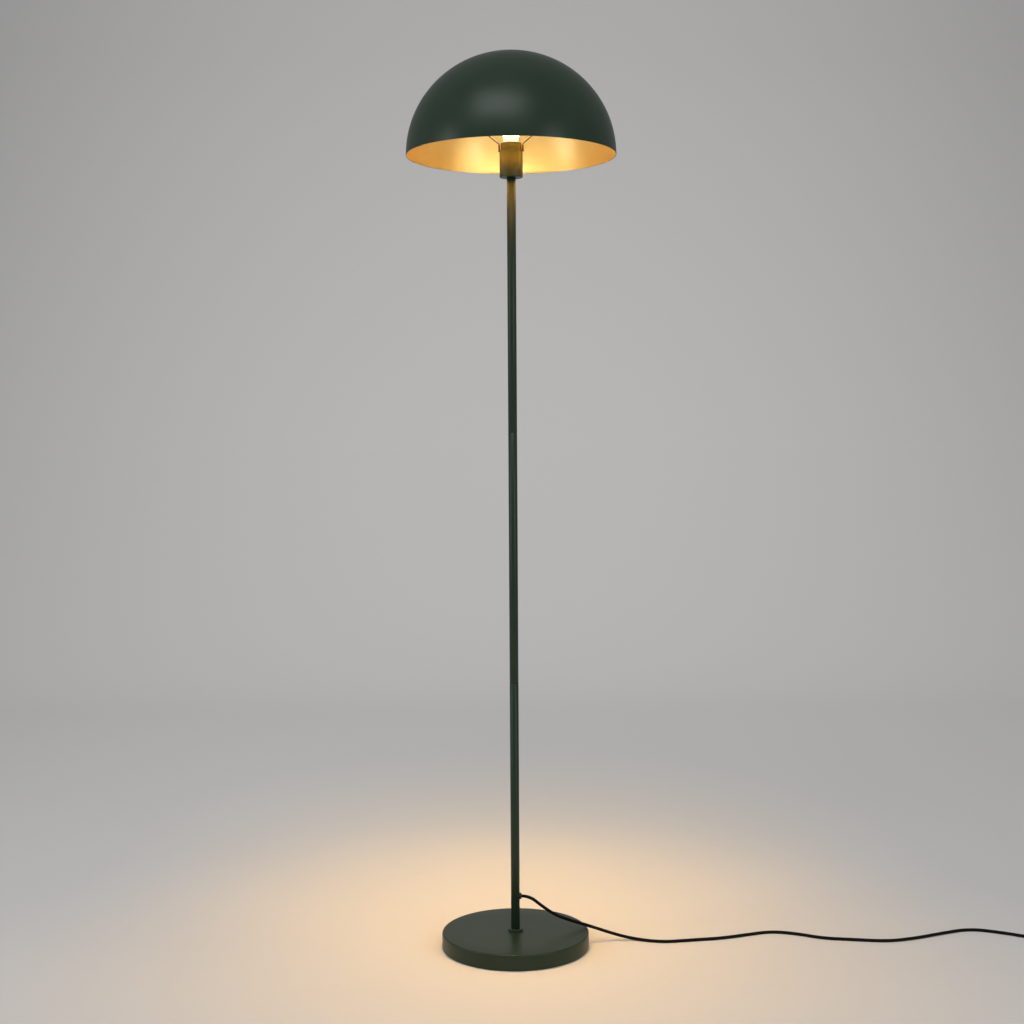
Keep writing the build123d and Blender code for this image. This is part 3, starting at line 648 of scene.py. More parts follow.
def arc(
    centre: tuple[float, float], radius: float, start: float, end: float, count: int
) -> list[tuple[float, float]]:
    """Points along a round stretch of an outline.

    Args:
        centre: The arc's centre, (radius, height).
        radius: The arc's own radius.
        start: Angle of its first point in degrees, from the outward direction.
        end: Angle of its last point.
        count: How many steps it has.

    Returns:
        The points, both ends included.
    """
    angles = [math.radians(start + (end - start) * i / count) for i in range(count + 1)]
    return [(centre[0] + radius * math.cos(a), centre[1] + radius * math.sin(a)) for a in angles]


def move(piece: bpy.types.Object, matrix: Matrix) -> bpy.types.Object:
    """Moves or turns a piece in its own mesh, so that its object stays at the origin."""
    piece.data.transform(matrix)
    return piece


def mesh_copy(piece: bpy.types.Object, name: str) -> bpy.types.Object:
    """Copies a piece with its own mesh.

    Args:
        piece: What is copied.
        name: The copy's name.

    Returns:
        The copy.
    """
    twin = piece.copy()
    twin.data = piece.data.copy()
    twin.name = name
    bpy.context.scene.collection.objects.link(twin)
    return twin


def joined(name: str, pieces: Sequence[bpy.types.Object]) -> bpy.types.Object:
    """Joins pieces into one object, each still its own closed shell.

    Args:
        name: The joined piece's name.
        pieces: What is joined.

    Returns:
        The joined piece.
    """
    deselect()
    for piece in pieces:
        piece.select_set(True)
    bpy.context.view_layer.objects.active = pieces[0]
    bpy.ops.object.join()
    pieces[0].name = name
    return pieces[0]


def rod(name: str, points: Sequence[Point], radius: float, smoothness: int = 12) -> bpy.types.Object:
    """A round wire through points, as a mesh.

    Args:
        name: The piece's name.
        points: The line it follows.
        radius: The wire's radius.
        smoothness: A quarter of the faces round it.

    Returns:
        The piece.
    """
    curve = bpy.data.curves.new(name, "CURVE")
    curve.dimensions = "3D"
    spline = curve.splines.new("POLY")
    spline.points.add(len(points) - 1)
    for spot, place in zip(spline.points, points):
        spot.co = (*place, 1.0)
    curve.bevel_depth = radius
    curve.bevel_resolution = smoothness
    curve.use_fill_caps = True
    piece = bpy.data.objects.new(name, curve)
    bpy.context.scene.collection.objects.link(piece)
    activate(piece)
    bpy.ops.object.convert(target="MESH")
    return bpy.context.active_object


def place_piece(piece: bpy.types.Object, body: str, slot: str, *nodes: str) -> None:
    """Hangs a finished piece on its body in place of its CAD nodes.

    Args:
        piece: The finished piece.
        body: The body that it moves with.
        slot: The record's slot that its finish comes from; not used.
        nodes: The CAD nodes that it stands for.
    """
    if nodes:
        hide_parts(*nodes)
    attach(piece, body)
    LOG.info("%s: %d faces on %s", piece.name, len(getattr(piece.data, "polygons", [])), body)


def finished(
    piece: bpy.types.Object, finish: Surface, body: str, slot: str, *nodes: str, angle: float = 32
) -> bpy.types.Object:
    """Shades a piece smooth, gives it its one finish and hangs it on its body.

    Args:
        piece: The piece, shaped and in its place.
        finish: The finish of all its faces.
        body: The body that it moves with.
        slot: The record's slot that its finish comes from; not used.
        nodes: The CAD nodes that it stands for.
        angle: Edges sharper than this many degrees stay crisp.

    Returns:
        The piece.
    """
    smooth(piece, angle)
    dress(piece, finish)
    place_piece(piece, body, slot, *nodes)
    return piece


# ------------------------------------------------------------------ sizes read from the frame
@dataclass(frozen=True)
class Span:
    """A CAD node's box, as radius about the pole's axis and as heights."""

    low: Vector
    high: Vector

    @classmethod
    def of(cls, node: str) -> "Span":
        """Reads a node's box."""
        return cls(*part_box(node))

    @property
    def radius(self) -> float:
        """Half the box's width in Y, which is the outer radius of a round piece."""
        return (self.high.y - self.low.y) / 2

    @property
    def bottom(self) -> float:
        """The lowest height."""
        return self.low.z

    @property
    def top(self) -> float:
        """The highest height."""
        return self.high.z


# ------------------------------------------------------------------ studio
@dataclass(frozen=True)
class Softbox:
    """One soft lamp, aimed at a point; it may light some pieces only."""

    name: str
    place: Point
    aim: Point
    wide: float
    tall: float
    power: float
    colour: str = "ffffff"
    shape: str = "RECTANGLE"
    spread: float = 180.0
    falls_on: tuple[str, ...] = ()

    def hang(self) -> None:
        """Puts the lamp up, out of the camera's sight."""
        data = bpy.data.lights.new(self.name, "AREA")
        data.shape = self.shape
        data.size = self.wide
        data.size_y = self.tall
        data.spread = math.radians(self.spread)
        data.energy = self.power
        data.color = linear(self.colour)[:3]
        lamp = bpy.data.objects.new(self.name, data)
        lamp.visible_camera = False
        lamp.location = self.place
        direction = Vector(self.aim) - Vector(self.place)
        lamp.rotation_euler = direction.to_track_quat("-Z", "Y").to_euler()
        bpy.context.scene.collection.objects.link(lamp)
        if self.falls_on:
            lamp.light_linking.receiver_collection = self.receivers()

    def receivers(self) -> bpy.types.Collection:
        """Gathers the pieces that the lamp lights."""
        name = "lit_" + self.falls_on[0]
        if name not in bpy.data.collections:
            gathered = bpy.data.collections.new(name)
            for piece in self.falls_on:
                gathered.objects.link(bpy.data.objects[piece])
        return bpy.data.collections[name]


ON_FLOOR = ("studio_floor",)
ON_FOOT = ("base_cover_skin", "pole_collar_ring")
ON_HOLDER = ("holder_cup_shell", "holder_ring_nut", "pole_upper_tube", "harp_wire_bent", "harp_sleeves")


@dataclass
class Studio:
    """The floor that runs up into a backdrop, the lamps, the grey room round them and the camera."""

    focal_mm: float = 53.55
    sensor_mm: float = 36.0
    camera_place: Point = (-0.0019, -2.5632, 0.8748)
    camera_pitch: float = math.radians(90 - 2.94)
    camera_roll: float = -0.0058
    sight: float = 50.0
    # Painted light on the paper: its colour is palest round one spot behind the lamp's foot and is painted
    # darker away from it, as painted shade towards the edges.
    backdrop: str = "dbdad9"
    floor_grey: str = "bab9b9"
    backdrop_painted_shade: str = "b0b0b0"
    painted_light_centre: Point = (0.0, -0.765, -0.044)
    painted_light_scale: Point = (0.245, 0.17, 0.147)
    room_dark: str = "505050"
    room_side: str = "8c8c8c"
    room: str = "ffffff"
    room_strength: float = 0.63
    floor_front: float = -4.5
    floor_back: float = 3.4
    floor_half: float = 6.0
    floor_bend: float = 1.6
    wall_top: float = 6.0
    softboxes: tuple[Softbox, ...] = (
        Softbox("overhead_box", (-0.40, -1.45, 2.9), (0.0, 0.0, 1.35), 1.7, 0.9, 23),
        Softbox("left_strip", (-2.04, -0.82, 1.15), (0.0, 0.0, 0.8), 0.35, 1.7, 13),
        Softbox("right_strip", (1.53, -1.58, 1.15), (0.0, 0.0, 0.8), 0.35, 1.7, 12),
    )
    bounce_turns: tuple[int, ...] = (-90, -50, -17, 17, 50, 90, 180)
    bounce_reach: float = 0.125
    bounce_height: float = 1.365
    bounce_aim: Point = (0.0, 0.0, 1.342)
    bounce_size: tuple[float, float] = (0.05, 0.03)
    bounce_colour: str = "ff9c10"
    bounce_power: float = 0.025
    pole_places: tuple[tuple[str, Point], ...] = (
        ("front", (0.0, -0.11, 1.36)),
        ("left", (-0.11, 0.03, 1.36)),
        ("right", (0.11, 0.03, 1.36)),
    )
    pole_aim: Point = (0.0, 0.0, 1.2)
    pole_power: float = 0.014
    mouth: Point = (0.0, 0.0, 1.332)
    mouth_size: tuple[float, float] = (0.30, 0.30)
    pool_colour: str = "ffbe30"
    foot_colour: str = "ffa000"

    def shoot_from(self) -> None:
        """Sets up the camera where the photograph was taken from."""
        data = bpy.data.cameras.new("camera")
        data.lens = self.focal_mm
        data.sensor_width = self.sensor_mm
        data.sensor_fit = "HORIZONTAL"
        data.clip_end = self.sight
        camera = bpy.data.objects.new("camera", data)
        turn = Matrix.Rotation(self.camera_pitch, 4, "X") @ Matrix.Rotation(self.camera_roll, 4, "Z")
        camera.matrix_world = Matrix.Translation(self.camera_place) @ turn
        bpy.context.scene.collection.objects.link(camera)
        bpy.context.scene.camera = camera

    def light_room(self) -> None:
        """Fills the room with even soft light, and lets mirrors see it darker behind the camera."""
        world = bpy.data.worlds.new("grey_room")
        bpy.context.scene.world = world
        world.use_nodes = True
        tree = world.node_tree
        tree.nodes.clear()
        path = add_node(tree, "LightPath").outputs
        seen = path["Is Camera Ray"]
        for ray in ("Is Glossy Ray", "Is Transmission Ray"):
            seen = add_node(tree, "Math", {0: path[ray], 1: seen}, operation="MAXIMUM").outputs[0]
        fill = add_node(tree, "Background", {"Color": linear(self.room), "Strength": self.room_strength})
        incoming = add_node(tree, "NewGeometry").outputs["Incoming"]
        behind = add_node(tree, "SeparateXYZ", {0: incoming}).outputs["Y"]
        around = ramp(tree, behind, [(0.0, self.room_side), (0.9, self.room_dark)])
        shown = add_node(tree, "Background", {"Color": around, "Strength": 1.0})
        mix = add_node(tree, "MixShader", {0: seen, 1: fill.outputs[0], 2: shown.outputs[0]})
        add_node(tree, "OutputWorld", {"Surface": mix.outputs[0]})

    def paper(self) -> bpy.types.Material:
        """Makes the matt paper of floor and backdrop, with the studio light painted into its colour: palest
        behind the lamp's foot as painted light, and darker towards its edges as painted shade.
        """
        recipe = Recipe("paper_backdrop_painted_light")
        centred = recipe.mapped(self.painted_light_scale, self.painted_light_centre)
        reach = add_node(recipe.tree, "VectorMath", {0: centred, 1: centred}, operation="DOT_PRODUCT")
        # Painted light and shade: pale where the light falls strongest, darker grey towards the edges.
        stops = [(0.0, self.backdrop), (0.6, self.floor_grey), (1.0, self.backdrop_painted_shade)]
        return recipe.done({"Color": ramp(recipe.tree, reach.outputs["Value"], stops)}, "BsdfDiffuse")

    def lay_floor(self) -> None:
        """Lays the floor, bends it up into the backdrop and gives it its paper."""
        deselect()
        bpy.ops.mesh.primitive_plane_add(size=1, location=(0, 0, 0))
        floor = named("studio_floor")
        bend = self.floor_bend
        with editing(floor):
            bpy.ops.mesh.select_all(action="SELECT")
            bpy.ops.transform.resize(value=(2 * self.floor_half, 1, 1))
            pick_verts(floor, lambda co: co.y < 0)
            bpy.ops.transform.translate(value=(0, self.floor_front + 0.5, 0))
            pick_verts(floor, lambda co: co.y > 0)
            bpy.ops.transform.translate(value=(0, self.floor_back - 0.5, 0))
            bpy.ops.mesh.extrude_region_move(TRANSFORM_OT_translate={"value": (0, bend, bend)})
            bpy.ops.mesh.extrude_region_move(TRANSFORM_OT_translate={"value": (0, 0, self.wall_top)})
        bevel(floor, bend * 0.9, segments=24, angle=20)
        smooth(floor, 40)
        floor.data.materials.append(self.paper())

    def bounces(self) -> Iterator[Softbox]:
        """The light that the shade's gold inside throws back on the holder, the harp and the pole.

        Yields:
            The lamps round the holder, and those that light the pole.
        """
        for index, turn in enumerate(self.bounce_turns):
            angle = math.radians(turn)
            across, back = math.sin(angle), -math.cos(angle)
            place = (self.bounce_reach * across, self.bounce_reach * back, self.bounce_height)
            yield Softbox(
                f"gold_bounce_{index}", place, self.bounce_aim, *self.bounce_size, self.bounce_power,
                self.bounce_colour, spread=66, falls_on=ON_HOLDER,
            )
        for side, place in self.pole_places:
            yield Softbox(
                "pole_light_" + side, place, self.pole_aim, *self.bounce_size, self.pole_power,
                self.bounce_colour, spread=60, falls_on=ON_HOLDER,
            )

    def pools(self) -> Iterator[Softbox]:
        """The light that falls from the shade's mouth on the floor and the foot.

        Yields:
            Two lamps for the floor and one for the foot.
        """
        for name, aim, power, spread, colour, falls_on in (
            ("down", (0.0, -0.10, 0.0), 2.6, 73, self.pool_colour, ON_FLOOR),
            ("back", (0.0, 0.55, 0.0), 1.1, 60, self.pool_colour, ON_FLOOR),
            ("foot", (0.0, 0.0, 0.0), 1.5, 66, self.foot_colour, ON_FOOT),
        ):
            yield Softbox(
                "lamp_light_" + name, self.mouth, aim, *self.mouth_size, power,
                colour, "DISK", spread, falls_on,
            )

    def build(self) -> None:
        """Builds the room and the floor."""
        bpy.context.scene.view_settings.view_transform = "Standard"
        self.shoot_from()
        self.light_room()
        self.lay_floor()

    def hang_lamps(self) -> None:
        """Puts up every lamp; the pieces that some of them are kept to must be there."""
        for box in (*self.softboxes, *self.bounces(), *self.pools()):
            box.hang()


# ------------------------------------------------------------------ base
@dataclass
class Base:
    """The round foot: pressed cover and foam pad; the weight and bolt that nobody sees stay as the frame has
    them.
    """

    radius: float = Span.of("base_cover").radius
    bottom: float = Span.of("base_cover").bottom
    top: float = Span.of("base_cover").top
    wall: float = 1.5 * MM
    edge: float = 2.5 * MM
    hem: float = 0.5 * MM
    margin: float = 30 * MM
    hole: float = 5.3 * MM
    pad_radius: float = Span.of("base_pad").radius
    pad_top: float = Span.of("base_pad").top
    pad_bulge: float = 0.4 * MM

    def cover(self) -> None:
        """Turns the cover, with its rolled upper edge, and a folded lip at the floor."""
        inner = self.radius - self.wall
        under = self.top - self.wall
        bend = self.edge - self.wall
        outline = [
            (self.hole, self.top),
            (self.radius - self.edge - self.margin, self.top),
            *arc((self.radius - self.edge, self.top - self.edge), self.edge, 90, 0, 8),
            (self.radius, self.bottom + self.hem),
            *arc((self.radius - self.hem, self.bottom + self.hem), self.hem, -20, -90, 3),
            *arc((inner + self.hem, self.bottom + self.hem), self.hem, -90, -160, 3),
            (inner, self.bottom + self.hem),
            (inner, under - bend),
            *arc((inner - bend, under - bend), bend, 20, 90, 4),
            (self.hole, under),
        ]
        piece = turned("base_cover_skin", outline, steps=160)
        finished(piece, Finishes.green_coat, "stand", "green_powder_coat", "base_cover")

    def pad(self) -> None:
        """Turns the foam pad, its edge a little crushed by the weight."""
        bulge = self.pad_bulge
        middle = self.pad_top / 2
        outline = [
            (0, 0),
            (self.pad_radius - bulge, 0),
            (self.pad_radius - bulge / 3, middle / 2),
            (self.pad_radius, middle),
            (self.pad_radius - bulge / 3, 1.5 * middle),
            (self.pad_radius - bulge, self.pad_top),
            (0, self.pad_top),
        ]
        piece = turned("base_pad_foam", outline, steps=120, closed=False)
        finished(piece, Finishes.foam, "stand", "black_foam", "base_pad")

    def build(self) -> None:
        """Makes the base."""
        self.cover()
        self.pad()


# ------------------------------------------------------------------ pole
@dataclass
class Pole:
    """The flange at the foot, three tubes screwed end to end, and the grommet in the lowest."""

    radius: float = Span.of("pole_lower").radius
    wall: float = 1.1 * MM
    seam: float = 0.35 * MM
    collar_radius: float = Span.of("pole_collar").radius
    collar_low: float = Span.of("pole_collar").bottom
    collar_high: float = Span.of("pole_collar").top
    collar_edge: float = 0.8 * MM
    seat: float = 2.0 * MM
    collar_hole: float = 5.3 * MM
    room: float = 0.05 * MM
    grommet_height: float = 0.087
    grommet_radius: float = 5.3 * MM
    grommet_face: float = 10.5 * MM
    grommet_edge: float = 1.2 * MM
    grommet_neck: float = 3.9 * MM
    grommet_clip: float = 4.6 * MM
    clip_thick: float = 1.0 * MM
    clip_inside: float = 1.05 * MM
    mouth: float = 0.5 * MM
    flange_sunk: float = 0.4 * MM
    hole: float = 3.95 * MM
    drill_length: float = 8 * MM
    cord_radius: float = 2.7 * MM

    def tube(self, node: str) -> None:
        """Turns one tube with a fine chamfer at each end, which shows as a hairline at the joint.

        Args:
            node: The tube's CAD node.
        """
        low, high = Span.of(node).bottom, Span.of(node).top
        inner = self.radius - self.wall
        outline = [
            (inner, low),
            (self.radius - self.seam, low),
            (self.radius, low + self.seam),
            (self.radius, high - self.seam),
            (self.radius - self.seam, high),
            (inner, high),
        ]
        piece = turned(node + "_tube", outline, steps=64)
        finished(piece, Finishes.green_coat, "stand", "green_powder_coat", node, angle=50)

    def lower_tube(self) -> None:
        """The lowest tube, with the hole that the grommet sits in."""
        self.tube("pole_lower")
        piece = bpy.data.objects["pole_lower_tube"]
        place = (self.drill_length, 0, self.grommet_height)
        drill(piece, self.hole, self.drill_length, place, along_x=True, facets=40)

    def collar(self) -> None:
        """Turns the flange at the pole's foot."""
        seat = self.collar_low + self.seat
        bore = self.radius + self.room
        outline = [
            (self.collar_hole, self.collar_low),
            (self.collar_radius, self.collar_low),
            *arc(
                (self.collar_radius - self.collar_edge, self.collar_high - self.collar_edge),
                self.collar_edge, 0, 90, 6,
            ),
            (bore, self.collar_high),
            (bore, seat),
            (self.collar_hole, seat),
        ]
        piece = turned("pole_collar_ring", outline, steps=96)
        finished(piece, Finishes.green_coat, "stand", "green_powder_coat", "pole_collar")

    def grommet(self) -> None:
        """Turns the soft bush, lays its flange round the pole and points it sideways."""
        bore = self.cord_radius + self.room
        inner = self.radius - self.wall - self.clip_inside
        face = self.radius - self.flange_sunk
        outline = [
            (bore, inner),
            (self.grommet_clip, inner),
            (self.grommet_clip, inner + self.clip_thick),
            (self.grommet_neck, inner + self.clip_thick),
            (self.grommet_neck, face),
            (self.grommet_radius, face),
            *arc(
                (self.grommet_radius - self.grommet_edge, self.grommet_face - self.grommet_edge),
                self.grommet_edge, 0, 90, 6,
            ),
            *arc((bore + self.mouth, self.grommet_face - self.mouth), self.mouth, 90, 180, 3),
        ]
        piece = turned("cord_grommet_bush", outline, steps=64)
        with editing(piece):
            mesh = bmesh.from_edit_mesh(piece.data)
            for vert in mesh.verts:
                depth = self.radius - math.sqrt(max(self.radius**2 - vert.co.y**2, 0))
                if vert.co.z < face + self.flange_sunk / 4:
                    vert.co.z -= depth
            bmesh.update_edit_mesh(piece.data)
        turn = Matrix.Translation((0, 0, self.grommet_height)) @ Matrix.Rotation(QUARTER_TURN, 4, "Y")
        move(piece, turn)
        finished(piece, Finishes.rubber, "stand", "black_rubber", "cord_grommet")

    def build(self) -> None:
        """Makes the pole."""
        self.collar()
        self.lower_tube()
        self.tube("pole_middle")
        self.tube("pole_upper")
        self.grommet()


# ------------------------------------------------------------------ lampholder
@dataclass
class Lampholder:
    """The spun cup on the pole's top and the ring that clamps the harp on it."""

    cup_radius: float = Span.of("holder_cup").radius
    cup_low: float = Span.of("holder_cup").bottom
    cup_high: float = Span.of("holder_cup").top
    cup_wall: float = 1.0 * MM
    cup_floor: float = 1.2 * MM
    cup_edge: float = 1.0 * MM
    cup_hole: float = 5.05 * MM
    ring_radius: float = Span.of("holder_ring").radius
    ring_low: float = Span.of("holder_ring").bottom
    ring_high: float = Span.of("holder_ring").top
    ring_bore: float = 16.15 * MM
    ring_edge: float = 1.0 * MM
    grooves: int = 3
    groove: float = 0.35 * MM
    groove_start: float = 2.2 * MM
    groove_pitch: float = 1.6 * MM

    def cup(self) -> None:
        """Turns the cup, with a rolled edge below and a fine lip above."""
        inner = self.cup_radius - self.cup_wall
        half = self.cup_wall / 2
        outline = [
            (self.cup_hole, self.cup_low),
            *arc((self.cup_radius - self.cup_edge, self.cup_low + self.cup_edge), self.cup_edge, -90, 0, 6),
            (self.cup_radius, self.cup_high - half),
            *arc((self.cup_radius - half, self.cup_high - half), half, 0, 180, 6),
            (inner, self.cup_high - half),
            (inner, self.cup_low + self.cup_floor),
            (self.cup_hole, self.cup_low + self.cup_floor),
        ]
        piece = turned("holder_cup_shell", outline, steps=96)
        finished(piece, Finishes.green_coat, "stand", "green_powder_coat", "holder_cup")

    def ring(self) -> None:
        """Turns the clamping ring, with the fine grooves that a hand grips."""
        outline = [(self.ring_bore, self.ring_low), (self.ring_radius, self.ring_low)]
        for index in range(self.grooves):
            middle = self.ring_low + (self.groove_start + index * self.groove_pitch)
            outline += [
                (self.ring_radius, middle - self.groove),
                (self.ring_radius - self.groove, middle),
                (self.ring_radius, middle + self.groove),
            ]
        rounding = (self.ring_radius - self.ring_edge, self.ring_high - self.ring_edge)
        outline += arc(rounding, self.ring_edge, 0, 90, 6)
        outline += [(self.ring_bore, self.ring_high)]
        piece = turned("holder_ring_nut", outline, steps=96)
        finished(piece, Finishes.green_coat, "stand", "green_powder_coat", "holder_ring")

    def build(self) -> None:
        """Makes the lampholder's outside."""
        self.cup()
        self.ring()


# ------------------------------------------------------------------ harp
@dataclass
class Harp:
    """The bent wire that carries the shade, with its sleeves and seat; its saddle stays as the frame has it.
    """

    turn: float = math.radians(-8)
    leg: float = 19.9 * MM
    wire: float = 1.1 * MM
    sleeve: float = 1.9 * MM
    sleeve_low: float = Span.of("harp_ferrules").bottom
    sleeve_high: float = Span.of("harp_ferrules").top
    seat_low: float = Span.of("harp_seat").bottom
    seat_high: float = Span.of("harp_seat").top
    seat_flange: float = 3.0 * MM
    seat_radius: float = 9.0 * MM
    neck_radius: float = 6.0 * MM
    seat_edge: float = 0.5 * MM
    stud: float = 3.0 * MM
    stud_depth: float = 4 * MM
    play: float = 0.05 * MM
    wire_end: float = 5.55 * MM
    wire_top_drop: float = 4.5 * MM
    leg_rise: float = 1.5 * MM
    leg_bend: float = 3.5 * MM
    lower_bend: Point = (54 * MM, 40 * MM, 12 * MM)
    upper_bend: Point = (57 * MM, 92 * MM, 30 * MM)
    shoulder_bend: Point = (36 * MM, -15 * MM, 18 * MM)
    top_bend: Point = (12 * MM, 0.0, 12 * MM)
    bend_steps: int = 8
    crimp: float = 0.25 * MM
    crimp_half: float = 0.9 * MM
    sleeve_edge: float = 0.3 * MM

    def place(self, piece: bpy.types.Object) -> bpy.types.Object:
        """Turns a piece drawn along X into the harp's plane."""
        return move(piece, Matrix.Rotation(self.turn, 4, "Z"))

    def bent(self) -> list[Point]:
        """The wire's centre line: straight legs and runs joined by round bends.

        Each bend is given by its distance from the axis, its height and its radius.

        Returns:
            Points from one end of the wire to the other.
        """
        level = self.seat_high - self.seat_flange - self.wire_top_drop
        half = [
            (self.leg, self.sleeve_low + self.wire_end, 0.0),
            (self.leg, self.sleeve_high + self.leg_rise, self.leg_bend),
        ]
        for base, bends in ((self.sleeve_low, (self.lower_bend, self.upper_bend)),
                            (level, (self.shoulder_bend, self.top_bend))):
            half += [(x, base + z, radius) for x, z, radius in bends]
        corners = half + [(-x, z, r) for x, z, r in reversed(half)]
        line: list[Point] = []
        for index, (x, z, radius) in enumerate(corners):
            here = Vector((x, 0, z))
            if radius == 0:
                line.append(tuple(here))
                continue
            before, after = (
                (Vector((corners[near][0], 0, corners[near][1])) - here).normalized()
                for near in (index - 1, index + 1)
            )
            opening = before.angle(after)
            reach = radius / math.tan(opening / 2)
            centre = here + (before + after).normalized() * (radius / math.sin(opening / 2))
            start, end = here + before * reach - centre, here + after * reach - centre
            sweep = start.angle(end)
            for step in range(self.bend_steps + 1):
                share = step / self.bend_steps
                arm = start * math.sin((1 - share) * sweep) + end * math.sin(share * sweep)
                line.append(tuple(centre + arm / math.sin(sweep)))
        return line

    def wire_piece(self) -> None:
        """Makes the wire."""
        piece = self.place(rod("harp_wire_bent", self.bent(), self.wire, 5))
        finished(piece, Finishes.bronze_coat, "stand", "bronze_paint", "harp_wire", angle=60)

    def sleeves(self) -> None:
        """Turns one sleeve with its two crimps, and sets it on both legs."""
        bore = self.wire + self.play
        height = self.sleeve_high - self.sleeve_low
        outline = [
            (bore, self.sleeve_low),
            (self.sleeve - self.sleeve_edge, self.sleeve_low),
            (self.sleeve, self.sleeve_low + self.sleeve_edge),
        ]
        for share in (0.33, 0.67):
            middle = self.sleeve_low + share * height
            outline += [
                (self.sleeve, middle - self.crimp_half),
                (self.sleeve - self.crimp, middle),
                (self.sleeve, middle + self.crimp_half),
            ]
        outline += [
            (self.sleeve, self.sleeve_high - self.sleeve_edge),
            (self.sleeve - self.sleeve_edge, self.sleeve_high),
            (bore, self.sleeve_high),
        ]
        right = turned("harp_sleeves", outline, steps=40)
        left = mesh_copy(right, "harp_sleeve_left")
        move(right, Matrix.Translation((self.leg, 0, 0)))
        move(left, Matrix.Translation((-self.leg, 0, 0)))
        both = self.place(joined("harp_sleeves", [right, left]))
        finished(both, Finishes.bronze_coat, "stand", "bronze_paint", "harp_ferrules")

    def seat(self) -> None:
        """Turns the seat under the shade, with its flange's edges broken."""
        neck_top = self.seat_high - self.seat_flange
        broken = self.seat_edge
        outline = [
            (0, self.seat_low),
            (self.neck_radius - broken, self.seat_low),
            (self.neck_radius, self.seat_low + broken),
            (self.neck_radius, neck_top),
            (self.seat_radius - broken, neck_top),
            (self.seat_radius, neck_top + broken),
            (self.seat_radius, self.seat_high - broken),
            (self.seat_radius - broken, self.seat_high),
            (self.stud + self.play, self.seat_high),
            (self.stud + self.play, self.seat_high - self.stud_depth),
            (0, self.seat_high - self.stud_depth),
        ]
        piece = turned("harp_seat_turned", outline, steps=64, closed=False)
        finished(piece, Finishes.brass, "stand", "brass", "harp_seat")

    def build(self) -> None:
        """Makes the harp."""
        self.wire_piece()
        self.sleeves()
        self.seat()


# ------------------------------------------------------------------ shade
@dataclass
class Shade:
    """The spun half-round shade, green outside and gold inside, and the nut that holds it."""

    radius: float = Span.of("shade").radius
    rim: float = Span.of("shade").bottom
    top: float = Span.of("shade").top
    wall: float = 1.0 * MM
    land: float = 10.0 * MM
    hole: float = 3.4 * MM
    rim_edge: float = 0.3 * MM
    nut_radius: float = Span.of("cap_nut").radius
    nut_low: float = Span.of("cap_nut").bottom
    nut_high: float = Span.of("cap_nut").top
    nut_bore: float = 3.05 * MM
    nut_depth: float = 3.4 * MM
    nut_edge: float = 1.2 * MM
    nut_chamfer: float = 0.3 * MM
    near: float = 0.1 * MM

    def dome(self) -> None:
        """Cuts a sphere in half, presses it flatter, opens its top and gives it a wall.

        The press holds the half sphere's middle, so the rim ends 2.7 mm above the solid's rim.
        """
        deselect()
        bpy.ops.mesh.primitive_uv_sphere_add(
            segments=192, ring_count=112, radius=self.radius, location=(0, 0, 0)
        )
        piece = named("shade_skin")
        end = math.acos(self.land / self.radius)
        tall = (self.top - self.rim) / math.sin(end)
        with editing(piece):
            bpy.ops.mesh.select_all(action="SELECT")
            bpy.ops.mesh.bisect(plane_co=(0, 0, 0), plane_no=(0, 0, 1), clear_inner=True)
            bpy.ops.mesh.select_all(action="SELECT")
            bpy.ops.transform.resize(value=(1, 1, tall / self.radius))
            bpy.ops.transform.translate(value=(0, 0, self.rim))
            pick_verts(piece, lambda co: co.xy.length < self.near)
            bpy.ops.mesh.delete(type="VERT")
            pick_verts(piece, lambda co: co.xy.length < self.land)
            bpy.ops.transform.resize(value=(1, 1, 0), center_override=(0, 0, self.top))
            inner = min(vert.co.xy.length for vert in bmesh.from_edit_mesh(piece.data).verts)
            pick_verts(piece, lambda co: co.xy.length < inner + self.near)
            scale = self.hole / inner
            bpy.ops.mesh.extrude_edges_move()
            bpy.ops.transform.resize(value=(scale, scale, 1), center_override=(0, 0, self.top))
            bpy.ops.mesh.select_all(action="SELECT")
            bpy.ops.mesh.normals_make_consistent(inside=False)
        wall = piece.modifiers.new("wall", "SOLIDIFY")
        wall.thickness = self.wall
        wall.offset = -1
        wall.material_offset = 1
        dress(piece, Finishes.green_coat, Finishes.gold)
        apply_modifiers(piece)
        bevel(piece, self.rim_edge, segments=3, angle=60)
        smooth(piece, 40)
        place_piece(piece, "shade", "green_powder_coat", "shade")

    def nut(self) -> None:
        """Turns the low domed nut on top."""
        inside = self.nut_low + self.nut_depth
        shoulder = self.nut_high - self.nut_edge - 0.2 * MM
        outline = [
            (self.nut_bore, self.nut_low),
            (self.nut_radius - self.nut_chamfer, self.nut_low),
            (self.nut_radius, self.nut_low + self.nut_chamfer),
            *arc((self.nut_radius - self.nut_edge, shoulder), self.nut_edge, 0, 75, 6),
            (self.nut_radius * 0.35, self.nut_high - 0.05 * MM),
            (0, self.nut_high),
            (0, inside),
            (self.nut_bore, inside),
        ]
        piece = turned("cap_nut_domed", outline, steps=64)
        finished(piece, Finishes.green_coat, "cap_nut", "green_powder_coat", "cap_nut")

    def build(self) -> None:
        """Makes the shade."""
        self.dome()
        self.nut()


